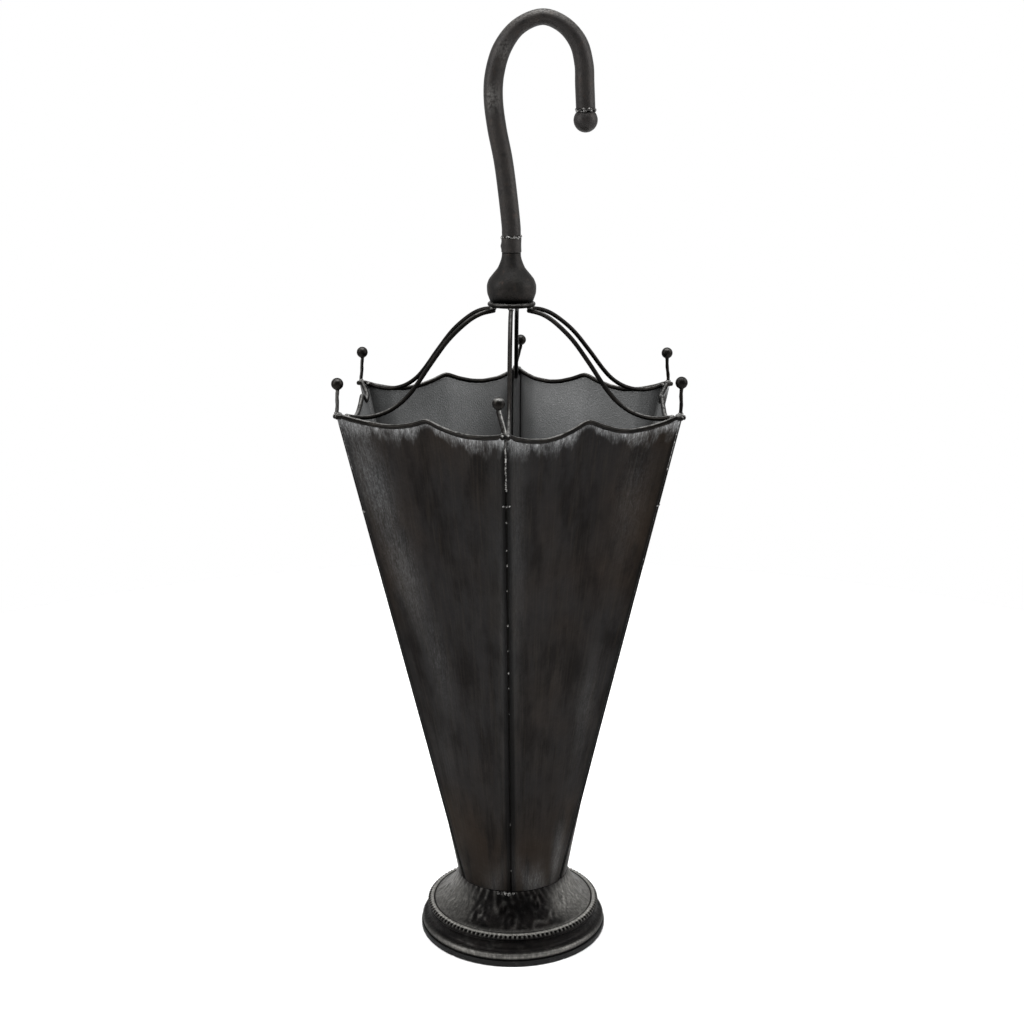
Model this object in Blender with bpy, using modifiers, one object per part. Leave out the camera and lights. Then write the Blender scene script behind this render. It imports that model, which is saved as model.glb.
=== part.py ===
"""Umbrella-shaped stand: a six-panel sheet body on a round pressed foot, six wire ribs up to a crown, and
a hooked handle. Metres, +Z up, standing on Z = 0, one corner of the hexagon towards -Y, the hook opening
towards +X."""

import math

import bmesh
import bpy

# Overall sizes
OVERALL_HEIGHT = 0.815
TIP_RADIUS = 0.1640
SIDES = 6

# Fits
GAP = 0.0003

# Rim: one 4 mm wire along the top edge of each panel, ends pinched side by side at the corners
WIRE_RADIUS = 0.0020
RIM_HEIGHT = 0.4939
PINCH_LENGTH = 0.0060
RIM_PROFILE = (
    # share of the side length, inward step and rise from the straight chord between two corners
    (0.080, 0.0070, -0.0034),
    (0.160, 0.0108, -0.0070),
    (0.260, 0.0120, -0.0085),
    (0.340, 0.0127, -0.0067),
    (0.420, 0.0131, -0.0024),
    (0.475, 0.0132, 0.0015),
    (0.500, 0.0132, 0.0024),
)
RIM_DEPTHS = (1.0, 1.0, 0.85, 0.80, 1.0, 0.65)  # hand-bent, so each side dips by its own share
RIM_SMOOTHING = 2

# Body: six tapering sheets with lips folded inward along the seams
SHEET = 0.0008
BODY_CORNER_INSET = 0.0034  # from the wire tips
BODY_CORNER_TOP = TIP_RADIUS - BODY_CORNER_INSET
BODY_CORNER_FOOT = 0.0500
BODY_FOOT_HEIGHT = 0.0557
LIP_DEPTH = 0.0050
FOLD = 0.0012
PANEL_ROWS = 2

# Floor of the umbrella well
FLOOR_THICKNESS = 0.0020
FLOOR_ARC_STEPS = 6

# Foot
FOOT_RADIUS = 0.0849
FOOT_EDGE_HEIGHT = 0.0050
FOOT_EDGE_WIDTH = 0.0055
FOOT_PLATE_THICKNESS = 0.0030
BEAD_RING_RADIUS = FOOT_RADIUS - 0.0093
BEAD_RING_HEIGHT = FOOT_EDGE_HEIGHT + 0.0191
BEAD_RING_HALF_WIDTH = 0.0031
BEAD_RING_HALF_HEIGHT = 0.0025
FOOT_MOULDING = (
    # hollow band and rounded bead below the bead ring: inset from the foot's edge, height above the edge ring
    (0.0079, 0.0140),
    (0.0082, 0.0110),
    (0.0073, 0.0082),
    (0.0049, 0.0066),
    (0.0025, 0.0060),
    (0.0011, 0.0042),
    (0.0011, 0.0020),
)
SHELL_WALL = 0.0014
SHELL_FLANGE_WIDTH = 0.0120
SHELL_STEPS = 36

# Crown
CROWN_HEIGHT = 0.5758
CROWN_RING_RADIUS = 0.0184
CROWN_DISC_THICKNESS = 0.0030
CROWN_HOLE_RADIUS = 0.0042

# Ribs: from the underside of the crown ring down and out to the rim corners
RIB_RADIUS = 0.0019
RIB_START_RADIUS = CROWN_RING_RADIUS - 0.0016
RIB_START_HEIGHT = CROWN_HEIGHT - 0.0046
RIB_END_RADIUS = TIP_RADIUS - 0.0125
RIB_END_HEIGHT = RIM_HEIGHT - 0.0005
RIB_PROFILE = (
    # share of the way out, share of the drop still to come
    (0.0000, 1.0000),
    (0.0980, 0.9717),
    (0.1945, 0.8920),
    (0.3207, 0.7211),
    (0.4395, 0.4897),
    (0.5509, 0.2519),
    (0.6251, 0.1260),
    (0.7068, 0.0373),
    (0.7884, -0.0116),
    (0.8701, -0.0296),
    (0.9443, -0.0219),
    (1.0000, 0.0000),
)
RIB_SIDE_STEPS = (
    # hand-welded, so each rib sits a little to one side: step at the crown, step at the rim
    (0.0000, 0.0016),
    (0.0000, -0.0016),
    (0.0000, -0.0016),
    (-0.0042, 0.0010),
    (0.0000, -0.0016),
    (0.0000, 0.0016),
)
RIB_SMOOTHING = 2

# Tip pins with balls
PIN_RADIUS = 0.0015
PIN_FROM_AXIS = TIP_RADIUS - 0.0050
BALL_RADIUS = 0.0050
BALL_HEIGHT = 0.5219
BALL_SIDE_STEPS = (-0.0052, 0.0034, 0.0004, -0.0038, 0.0000, -0.0034)
BALL_DROPS = (0.0022, 0.0, 0.0, 0.0, 0.0, 0.0018)
PIN_LEANS = (
    # hand-welded, so some pins lean: step of the pin's foot from under its ball, outward and anticlockwise
    (0.0000, 0.0041),
    (0.0000, 0.0000),
    (0.0018, 0.0000),
    (0.0000, 0.0048),
    (0.0020, 0.0000),
    (0.0010, 0.0000),
)
PIN_STRAIGHT = 0.0012  # upright length at each end

# Handle
STUD_RADIUS = 0.0035
STUD_REACH = 0.0080  # into the tube
KNOB_BORE_RADIUS = 0.0040
KNOB_PROFILE = (
    # radius, height above the crown ring, top to bottom
    (0.0080, 0.0405),
    (0.0082, 0.0375),
    (0.0091, 0.0340),
    (0.0116, 0.0282),
    (0.0155, 0.0233),
    (0.0190, 0.0187),
    (0.0206, 0.0145),
    (0.0209, 0.0115),
    (0.0206, 0.0070),
    (0.0195, 0.0036),
    (0.0182, 0.0000),
)
FERRULE_RADIUS = 0.0084
FERRULE_LENGTH = 0.0125
TUBE_RADIUS = 0.0080
TUBE_WALL = 0.0012
HANDLE_BALL_RADIUS = 0.0100
HANDLE_BALL_FLAT = 0.0026
HANDLE_PATH = (
    # sideways, height above the ferrule, thickness of the tube as a share of its full radius
    (0.0000, 0.0004, 1.0),
    (0.0000, 0.0026, 1.0),
    (-0.0004, 0.0116, 1.0),
    (-0.0032, 0.0376, 1.0),
    (-0.0067, 0.0636, 1.0),
    (-0.0118, 0.0893, 1.0),
    (-0.0146, 0.1126, 1.0),
    (-0.0134, 0.1326, 1.0),
    (-0.0069, 0.1530, 0.97),
    (0.0062, 0.1693, 0.86),
    (0.0252, 0.1769, 0.82),
    (0.0424, 0.1708, 0.86),
    (0.0546, 0.1571, 0.94),
    (0.0595, 0.1399, 0.98),
    (0.0603, 0.1241, 1.0),
    (0.0613, 0.1031, 1.0),
)
HANDLE_SMOOTHING = 3


def remove_all():
    for obj in list(bpy.data.objects):
        bpy.data.objects.remove(obj, do_unlink=True)


remove_all()
PARTS = bpy.data.collections.new("umbrella_stand")
bpy.context.scene.collection.children.link(PARTS)


def material(name, colour, roughness, metallic):
    made = bpy.data.materials.new(name)
    made.use_nodes = True
    shader = made.node_tree.nodes["Principled BSDF"]
    shader.inputs["Base Color"].default_value = (*colour, 1.0)
    shader.inputs["Roughness"].default_value = roughness
    shader.inputs["Metallic"].default_value = metallic
    made.diffuse_color = (*colour, 1.0)
    return made


def add_object(name, data, paint, smooth=True):
    obj = bpy.data.objects.new(name, data)
    PARTS.objects.link(obj)
    data.materials.append(material(f"{name}_paint", *paint))
    if obj.type == "MESH":
        data.polygons.foreach_set("use_smooth", [smooth] * len(data.polygons))
    return obj


PANEL_PAINT = ((0.028, 0.026, 0.023), 0.50, 0.75)
WIRE_PAINT = ((0.030, 0.028, 0.026), 0.48, 0.75)
HANDLE_PAINT = ((0.026, 0.026, 0.025), 0.55, 0.70)
FOOT_PAINT = ((0.024, 0.023, 0.021), 0.48, 0.75)
EDGE_PAINT = ((0.012, 0.012, 0.012), 0.60, 0.30)
FLOOR_PAINT = ((0.100, 0.100, 0.100), 0.70, 0.50)
STUD_METAL = ((0.400, 0.400, 0.390), 0.35, 1.00)


def smooth_path(points, per_span):
    """Points of a Catmull-Rom curve through the given ones, with straight end spans."""
    ends = [tuple(2 * a - b for a, b in zip(points[0], points[1]))]
    ends.append(tuple(2 * a - b for a, b in zip(points[-1], points[-2])))
    full = [ends[0], *points, ends[1]]
    path = []
    for i in range(1, len(full) - 2):
        for step in range(per_span):
            t = step / per_span
            weights = (
                (-t + 2 * t**2 - t**3) / 2,
                (2 - 5 * t**2 + 3 * t**3) / 2,
                (t + 4 * t**2 - 3 * t**3) / 2,
                (-(t**2) + t**3) / 2,
            )
            span = full[i - 1 : i + 3]
            path.append(tuple(sum(w * p[j] for w, p in zip(weights, span)) for j in range(len(full[0]))))
    path.append(tuple(points[-1]))
    return path


def corner_angle(k):
    return math.radians(-90 + 360 / SIDES * k)


def corner_point(k, from_axis, sideways, height):
    """A point near corner k: its distance from the axis, its step anticlockwise from the corner's own plane."""
    angle = corner_angle(k)
    x = from_axis * math.cos(angle) - sideways * math.sin(angle)
    y = from_axis * math.sin(angle) + sideways * math.cos(angle)
    return (x, y, height)


def side_point(k, share, inward, height, corner_radius):
    """A point on the side from corner k to corner k + 1, by its share of the chord and its step inward."""
    a = corner_point(k, corner_radius, 0, height)
    b = corner_point(k + 1, corner_radius, 0, height)
    middle = corner_angle(k + 0.5)
    x = a[0] + (b[0] - a[0]) * share - inward * math.cos(middle)
    y = a[1] + (b[1] - a[1]) * share - inward * math.sin(middle)
    return (x, y, height)


def tube(name, path, radius, paint, sides=2, shares=None, caps=True):
    curve = bpy.data.curves.new(name, "CURVE")
    curve.dimensions = "3D"
    curve.bevel_depth = radius
    curve.bevel_resolution = sides
    curve.use_fill_caps = caps
    spline = curve.splines.new("POLY")
    spline.points.add(len(path) - 1)
    for i, point in enumerate(path):
        spline.points[i].co = (*point[:3], 1)
        spline.points[i].radius = shares[i] if shares else 1.0
    spline.use_smooth = True
    return add_object(name, curve, paint)


def turned(name, profile, paint, steps, closed=False, centre=(0, 0)):
    """A turned solid about the vertical line through centre, from its (radius, height) profile."""
    mesh = bpy.data.meshes.new(name)
    points = [(radius, 0, height) for radius, height in profile]
    edges = [(i, i + 1) for i in range(len(points) - 1)]
    if closed:
        edges.append((len(points) - 1, 0))
    mesh.from_pydata(points, edges, [])
    obj = add_object(name, mesh, paint)
    obj.location = (*centre, 0)
    screw = obj.modifiers.new("Turn", "SCREW")
    screw.steps = steps
    screw.render_steps = steps
    screw.use_merge_vertices = True
    screw.merge_threshold = 0.00001
    screw.use_smooth_shade = True
    return obj


def ball(name, radius, centre, paint, segments, rings):
    mesh = bpy.data.meshes.new(name)
    shape = bmesh.new()
    bmesh.ops.create_uvsphere(shape, u_segments=segments, v_segments=rings, radius=radius)
    shape.to_mesh(mesh)
    shape.free()
    obj = add_object(name, mesh, paint)
    obj.location = centre
    return obj


def flat_plate(name, outline, low, thickness, paint):
    curve = bpy.data.curves.new(name, "CURVE")
    curve.dimensions = "2D"
    curve.fill_mode = "BOTH"
    curve.extrude = thickness / 2
    spline = curve.splines.new("POLY")
    spline.points.add(len(outline) - 1)
    for i, (x, y) in enumerate(outline):
        spline.points[i].co = (x, y, 0, 1)
    spline.use_cyclic_u = True
    obj = add_object(name, curve, paint)
    obj.location = (0, 0, low + thickness / 2)
    return obj


# ---- rim and body ----


def rim_line(k, height):
    """The scalloped line of side k between its two corner folds: RIM_PROFILE, then its mirror image."""
    half = [(share, inward, rise * (RIM_DEPTHS[k] if rise < 0 else 1)) for share, inward, rise in RIM_PROFILE]
    other_half = [(1 - share, inward, rise) for share, inward, rise in reversed(half[:-1])]
    whole = [*half, *other_half]
    return [side_point(k, share, inward, height + rise, TIP_RADIUS) for share, inward, rise in whole]


def rim_path(k):
    """Centreline of one rim wire, from the pinched end at corner k to the one at corner k + 1."""
    beside = WIRE_RADIUS + GAP / 2
    pinch = TIP_RADIUS - PINCH_LENGTH
    start = [corner_point(k, r, beside, RIM_HEIGHT) for r in (TIP_RADIUS, pinch)]
    end = [corner_point(k + 1, r, -beside, RIM_HEIGHT) for r in (pinch, TIP_RADIUS)]
    middle = rim_line(k, RIM_HEIGHT)
    return [start[0], *smooth_path([start[1], *middle, end[0]], RIM_SMOOTHING), end[1]]


def seam_fold(k, side, corner_radius, height):
    """The folded lip of a panel at corner k, free edge first, then the fold. Side is +1 or -1 from the seam."""
    beside = (GAP + SHEET) / 2
    steps = (
        (LIP_DEPTH, beside),
        (FOLD * 1.3, beside),
        (FOLD * 0.4, beside + FOLD * 0.3),
        (0.0, beside + FOLD),
        (FOLD * 0.5, beside + FOLD * 1.9),
    )
    return [corner_point(k, corner_radius - depth, side * step, height) for depth, step in steps]


def panel_top(k):
    """Top edge of panel k, just under its rim wire."""
    under = RIM_HEIGHT - WIRE_RADIUS - GAP
    start = seam_fold(k, 1, BODY_CORNER_TOP, under)
    end = seam_fold(k + 1, -1, BODY_CORNER_TOP, under)[::-1]
    path = smooth_path([start[-1], *rim_line(k, under), end[0]], RIM_SMOOTHING)
    return [*start[:-1], *path, *end[1:]]


def panel_foot(k, count):
    """Bottom edge of panel k, a sixth of a circle between two folds, with as many points as the top edge."""
    start = seam_fold(k, 1, BODY_CORNER_FOOT, BODY_FOOT_HEIGHT)
    end = seam_fold(k + 1, -1, BODY_CORNER_FOOT, BODY_FOOT_HEIGHT)[::-1]
    inner = count - len(start) - len(end)
    first = math.atan2(start[-1][1], start[-1][0])
    last = math.atan2(end[0][1], end[0][0])
    sweep = (last - first) % (2 * math.pi)
    arc = []
    for i in range(inner):
        angle = first + sweep * (i + 1) / (inner + 1)
        x, y = BODY_CORNER_FOOT * math.cos(angle), BODY_CORNER_FOOT * math.sin(angle)
        arc.append((x, y, BODY_FOOT_HEIGHT))
    return [*start, *arc, *end]


def body_panel(k):
    """A sheet spanned by straight lines from the round bottom edge to the scalloped top edge."""
    top = panel_top(k)
    foot = panel_foot(k, len(top))
    name = f"body_panel_{k + 1}"
    mesh = bpy.data.meshes.new(name)
    columns = len(top)
    points = []
    for row in range(PANEL_ROWS + 1):
        t = row / PANEL_ROWS
        points += [tuple(a + (b - a) * t for a, b in zip(low, high)) for low, high in zip(foot, top)]
    faces = []
    for row in range(PANEL_ROWS):
        for i in range(columns - 1):
            a = row * columns + i
            faces.append((a, a + 1, a + 1 + columns, a + columns))
    mesh.from_pydata(points, [], faces)
    obj = add_object(name, mesh, PANEL_PAINT)
    sheet = obj.modifiers.new("Sheet", "SOLIDIFY")
    sheet.thickness = SHEET
    sheet.offset = 0
    sheet.use_even_offset = True
    return obj


def floor_plate():
    """Closes the well: a round plate notched for the six pairs of lips."""
    low = BODY_FOOT_HEIGHT + 0.0012
    outer = BODY_CORNER_FOOT - SHEET / 2 - 2 * GAP
    inner = BODY_CORNER_FOOT - LIP_DEPTH - 2 * GAP
    half_notch = SHEET + GAP * 2 + FOLD
    outline = []
    for k in range(SIDES):
        start = corner_angle(k) + half_notch / outer
        sweep = math.radians(360 / SIDES) - 2 * half_notch / outer
        outline.append(corner_point(k, inner, half_notch, 0)[:2])
        for i in range(FLOOR_ARC_STEPS + 1):
            angle = start + sweep * i / FLOOR_ARC_STEPS
            outline.append((outer * math.cos(angle), outer * math.sin(angle)))
        outline.append(corner_point(k + 1, inner, -half_notch, 0)[:2])
    return flat_plate("floor_plate", outline, low, FLOOR_THICKNESS, FLOOR_PAINT)


# ---- foot ----


def foot_outside():
    """Outer side of the pressed foot, from the neck under the body down to its lower edge."""
    seat = BEAD_RING_HEIGHT - BEAD_RING_HALF_HEIGHT - GAP
    inside_ring = BEAD_RING_RADIUS - BEAD_RING_HALF_WIDTH - GAP
    neck = BODY_CORNER_FOOT
    top = BODY_FOOT_HEIGHT - GAP
    return [
        (neck, top),
        (neck + 0.0006, top - 0.0030),
        (neck + 0.0022, top - 0.0075),
        (neck + 0.0050, top - 0.0130),
        (neck + 0.0092, top - 0.0188),
        (neck + 0.0146, top - 0.0242),
        (inside_ring, top - 0.0290),
        (inside_ring, seat),
        (BEAD_RING_RADIUS + BEAD_RING_HALF_WIDTH * 0.8, seat),
        *[(FOOT_RADIUS - inset, FOOT_EDGE_HEIGHT + height) for inset, height in FOOT_MOULDING],
        (FOOT_RADIUS - 0.0021, FOOT_EDGE_HEIGHT + GAP),
    ]


def foot_shell():
    """The pressed foot: its outer side, and the same line stepped inward by the wall as its inner side."""
    outside = foot_outside()
    neck, top = outside[0]
    inside = [
        (FOOT_RADIUS - 0.0067, FOOT_EDGE_HEIGHT + GAP),
        (FOOT_RADIUS - 0.0091, FOOT_EDGE_HEIGHT + 0.0080),
        (FOOT_RADIUS - 0.0099, FOOT_EDGE_HEIGHT + 0.0132),
        (FOOT_RADIUS - 0.0144, FOOT_EDGE_HEIGHT + 0.0146),
        (neck + 0.0150, top - 0.0292 - SHELL_WALL),
        (neck + 0.0090, top - 0.0228 - SHELL_WALL),
        (neck + 0.0040, top - 0.0169 - SHELL_WALL),
        (neck + 0.0005, top - 0.0099 - SHELL_WALL),
        (neck - SHELL_WALL, top - 0.0054),
        (neck - SHELL_WALL, top - SHELL_WALL),
        (neck - SHELL_FLANGE_WIDTH, top - SHELL_WALL),
        (neck - SHELL_FLANGE_WIDTH, top),
    ]
    return turned("foot_shell", outside + inside, FOOT_PAINT, SHELL_STEPS, closed=True)


def bead_ring():
    profile = []
    for i in range(8):
        angle = math.radians(90 - 45 * i)
        radius = BEAD_RING_RADIUS + BEAD_RING_HALF_WIDTH * math.cos(angle)
        profile.append((radius, BEAD_RING_HEIGHT + BEAD_RING_HALF_HEIGHT * math.sin(angle)))
    return turned("foot_bead_ring", profile, FOOT_PAINT, SHELL_STEPS, closed=True)


def foot_edge():
    inner = FOOT_RADIUS - FOOT_EDGE_WIDTH
    round_off = 0.0008
    profile = [
        (inner, FOOT_EDGE_HEIGHT),
        (FOOT_RADIUS - round_off, FOOT_EDGE_HEIGHT),
        (FOOT_RADIUS, FOOT_EDGE_HEIGHT - round_off),
        (FOOT_RADIUS, round_off),
        (FOOT_RADIUS - round_off, 0),
        (inner, 0),
    ]
    return turned("foot_edge_ring", profile, EDGE_PAINT, SHELL_STEPS, closed=True)


def foot_plate():
    radius = FOOT_RADIUS - FOOT_EDGE_WIDTH - GAP
    profile = [(0, FOOT_PLATE_THICKNESS), (radius, FOOT_PLATE_THICKNESS), (radius, 0), (0, 0)]
    return turned("foot_plate", profile, EDGE_PAINT, SHELL_STEPS)


# ---- crown, ribs and pins ----


def crown_ring():
    profile = []
    for i in range(8):
        angle = math.radians(90 - 45 * i)
        radius = CROWN_RING_RADIUS + WIRE_RADIUS * math.cos(angle)
        profile.append((radius, CROWN_HEIGHT + WIRE_RADIUS * math.sin(angle)))
    return turned("crown_ring", profile, WIRE_PAINT, 32, closed=True)


def crown_disc():
    outer = CROWN_RING_RADIUS - WIRE_RADIUS - GAP
    low = CROWN_HEIGHT - CROWN_DISC_THICKNESS / 2
    high = CROWN_HEIGHT + CROWN_DISC_THICKNESS / 2
    profile = [(CROWN_HOLE_RADIUS, high), (outer, high), (outer, low), (CROWN_HOLE_RADIUS, low)]
    return turned("crown_disc", profile, WIRE_PAINT, 32, closed=True)


def rib(k):
    at_crown, at_rim = RIB_SIDE_STEPS[k]
    points = []
    for out, drop in RIB_PROFILE:
        r = RIB_START_RADIUS + (RIB_END_RADIUS - RIB_START_RADIUS) * out
        height = RIB_END_HEIGHT + (RIB_START_HEIGHT - RIB_END_HEIGHT) * drop
        points.append(corner_point(k, r, at_crown + (at_rim - at_crown) * out, height))
    return tube(f"rib_wire_{k + 1}", smooth_path(points, RIB_SMOOTHING), RIB_RADIUS, WIRE_PAINT)


def rim_wire(k):
    return tube(f"rim_wire_{k + 1}", rim_path(k), WIRE_RADIUS, WIRE_PAINT)


def tip_pin(k):
    low = RIM_HEIGHT + WIRE_RADIUS + GAP
    high = BALL_HEIGHT - BALL_DROPS[k] - BALL_RADIUS - GAP
    out, side = PIN_LEANS[k]
    foot = (PIN_FROM_AXIS + out, BALL_SIDE_STEPS[k] + side)
    head = (PIN_FROM_AXIS, BALL_SIDE_STEPS[k])
    path = [corner_point(k, *foot, low), corner_point(k, *foot, low + PIN_STRAIGHT)]
    path += [corner_point(k, *head, high - PIN_STRAIGHT), corner_point(k, *head, high)]
    return tube(f"tip_pin_{k + 1}", path, PIN_RADIUS, WIRE_PAINT)


def tip_ball(k):
    centre = corner_point(k, PIN_FROM_AXIS, BALL_SIDE_STEPS[k], BALL_HEIGHT - BALL_DROPS[k])
    return ball(f"tip_ball_{k + 1}", BALL_RADIUS, centre, WIRE_PAINT, 12, 8)


# ---- handle ----


def knob():
    base = CROWN_HEIGHT + WIRE_RADIUS + GAP
    outside = [(radius, base + height) for radius, height in KNOB_PROFILE]
    bore = [(KNOB_BORE_RADIUS, base), (KNOB_BORE_RADIUS, base + KNOB_PROFILE[0][1])]
    return turned("handle_knob", outside + bore, HANDLE_PAINT, 24, closed=True)


def knob_top():
    return CROWN_HEIGHT + WIRE_RADIUS + GAP + KNOB_PROFILE[0][1]


def ferrule_top():
    return knob_top() + GAP + FERRULE_LENGTH


def ferrule():
    low = knob_top() + GAP
    high = ferrule_top()
    round_off = 0.0008
    profile = [
        (KNOB_BORE_RADIUS, high),
        (FERRULE_RADIUS - round_off, high),
        (FERRULE_RADIUS, high - round_off),
        (FERRULE_RADIUS, low + round_off),
        (FERRULE_RADIUS - round_off, low),
        (KNOB_BORE_RADIUS, low),
    ]
    return turned("handle_ferrule", profile, HANDLE_PAINT, 24, closed=True)


def stud():
    """The hidden rod that holds crown disc, knob and ferrule together and runs on up into the tube."""
    low = CROWN_HEIGHT - CROWN_DISC_THICKNESS
    high = ferrule_top() + HANDLE_PATH[0][1] + STUD_REACH
    profile = [(0, high), (STUD_RADIUS, high), (STUD_RADIUS, low), (0, low)]
    return turned("handle_stud", profile, STUD_METAL, 16)


def handle_path():
    """The tube's centreline and thickness shares, stretched so that its crest reaches the overall height."""
    path = [HANDLE_PATH[0], *smooth_path(HANDLE_PATH[1:], HANDLE_SMOOTHING)]
    lowest = path[0][1]
    foot = ferrule_top() + lowest
    crest, share = max((z, share) for _, z, share in path)
    stretch = (OVERALL_HEIGHT - TUBE_RADIUS * share - foot) / (crest - lowest)
    return [(x, 0, foot + (z - lowest) * stretch) for x, z, _ in path], [share for _, _, share in path]


def handle_tube():
    points, shares = handle_path()
    outside = tube("tube_line", points, TUBE_RADIUS, HANDLE_PAINT, sides=3, shares=shares, caps=False)
    mesh = bpy.data.meshes.new_from_object(outside.evaluated_get(bpy.context.evaluated_depsgraph_get()))
    bpy.data.objects.remove(outside, do_unlink=True)
    mesh.materials.clear()
    obj = add_object("handle_tube", mesh, HANDLE_PAINT)
    wall = obj.modifiers.new("Wall", "SOLIDIFY")
    wall.thickness = TUBE_WALL
    wall.offset = -1


def handle_end_ball():
    """The ball on the hook's end, with a small flat where it meets the tube."""
    x, y, z = handle_path()[0][-1]
    reach = HANDLE_BALL_RADIUS - HANDLE_BALL_FLAT
    profile = [(0, reach)]
    first = math.acos(reach / HANDLE_BALL_RADIUS)
    rings = 9
    for i in range(rings):
        angle = first + (math.pi - first) * i / rings
        profile.append((HANDLE_BALL_RADIUS * math.sin(angle), HANDLE_BALL_RADIUS * math.cos(angle)))
    profile.append((0, -HANDLE_BALL_RADIUS))
    obj = turned("handle_end_ball", profile, HANDLE_PAINT, 16)
    obj.location = (x, y, z - GAP - reach)
    return obj


for k in range(SIDES):
    body_panel(k)
    rim_wire(k)
    rib(k)
    tip_pin(k)
    tip_ball(k)
floor_plate()
foot_shell()
bead_ring()
foot_edge()
foot_plate()
crown_ring()
crown_disc()
knob()
ferrule()
stud()
handle_tube()
handle_end_ball()
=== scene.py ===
"""Looks of an umbrella stand in blackened steel: a six-panel sheet body on a pressed foot, wire rim and ribs, and a
hooked tube handle. Metres, +Z up, one corner of the body towards -Y, the hook opening towards +X."""

import math
from functools import partial

import bpy
import numpy as np
from mathutils import Matrix


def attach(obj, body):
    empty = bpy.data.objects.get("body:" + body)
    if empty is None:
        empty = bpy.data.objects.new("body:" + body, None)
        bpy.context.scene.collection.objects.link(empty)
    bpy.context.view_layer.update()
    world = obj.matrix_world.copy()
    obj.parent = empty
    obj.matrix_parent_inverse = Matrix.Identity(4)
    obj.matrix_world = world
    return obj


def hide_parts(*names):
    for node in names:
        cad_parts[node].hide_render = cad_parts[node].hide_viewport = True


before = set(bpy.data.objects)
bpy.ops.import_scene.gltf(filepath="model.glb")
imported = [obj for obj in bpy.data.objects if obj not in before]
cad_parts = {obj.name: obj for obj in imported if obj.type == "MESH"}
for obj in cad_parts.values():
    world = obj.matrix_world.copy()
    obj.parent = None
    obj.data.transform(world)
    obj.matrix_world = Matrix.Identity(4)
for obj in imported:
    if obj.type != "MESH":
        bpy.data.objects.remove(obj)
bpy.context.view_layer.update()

# ---- sizes shared with the solids ----

SIDES = 6
OVERALL_HEIGHT = 0.815
TIP_RADIUS = 0.1640
GAP = 0.0003

WIRE_RADIUS = 0.0020
RIM_HEIGHT = 0.4939
PINCH_LENGTH = 0.0060
RIM_TENSION = 0.28
RIM_PROFILE = (
    # share of the side length, inward step and rise from the straight chord between two corners
    (0.080, 0.0070, -0.0034),
    (0.160, 0.0108, -0.0070),
    (0.260, 0.0120, -0.0085),
    (0.340, 0.0127, -0.0067),
    (0.420, 0.0131, -0.0024),
    (0.475, 0.0132, 0.0015),
    (0.500, 0.0132, 0.0024),
)

RIM_DEPTHS = (1.0, 1.0, 0.85, 0.80, 1.0, 0.65)

SHEET = 0.0008
CORNER_TOP = TIP_RADIUS - 0.0034
CORNER_FOOT = 0.0500
BODY_FOOT = 0.0557
BODY_TOP = RIM_HEIGHT - WIRE_RADIUS - GAP
PANEL_TOP = RIM_HEIGHT - WIRE_RADIUS * 0.5
LIP_DEPTH = 0.0050
FOLD = 0.0012

FOOT_RADIUS = 0.0849
EDGE_HEIGHT = 0.0050
EDGE_WIDTH = 0.0055
RING_RADIUS = FOOT_RADIUS - 0.0093
RING_HEIGHT = EDGE_HEIGHT + 0.0191
RING_HALF_WIDTH = 0.0031
RING_HALF_HEIGHT = 0.0025

CROWN_HEIGHT = 0.5758
CROWN_RADIUS = 0.0184
RIB_RADIUS = 0.0019
RIB_START = (CROWN_RADIUS - 0.0016, CROWN_HEIGHT - 0.0046)
RIB_END = (TIP_RADIUS - 0.0125, RIM_HEIGHT - 0.0005)
RIB_PROFILE = (
    # share of the way out, share of the drop still to come
    (0.0000, 1.0000),
    (0.0980, 0.9717),
    (0.1945, 0.8920),
    (0.3207, 0.7211),
    (0.4395, 0.4897),
    (0.5509, 0.2519),
    (0.6251, 0.1260),
    (0.7068, 0.0373),
    (0.7884, -0.0116),
    (0.8701, -0.0296),
    (0.9443, -0.0219),
    (1.0000, 0.0000),
)
RIB_SIDE_STEPS = ((0, 0.0016), (0, -0.0016), (0, -0.0016), (-0.0042, 0.0010), (0, -0.0016), (0, 0.0016))

PIN_RADIUS = 0.0015
FRONT_PIN_STOUTER = 1.3  # the front pin's thickness beside the others'
PIN_FROM_AXIS = TIP_RADIUS - 0.0050
PIN_LEANS = ((0, 0.0041), (0, 0), (0.0018, 0), (0, 0.0048), (0.0020, 0), (0.0010, 0))
BALL_RADIUS = 0.0050
BALL_HEIGHT = 0.5219
BALL_SIDE_STEPS = (-0.0052, 0.0034, 0.0004, -0.0038, 0.0000, -0.0034)
BALL_DROPS = (0.0022, 0.0, 0.0, 0.0, 0.0, 0.0018)

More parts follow.
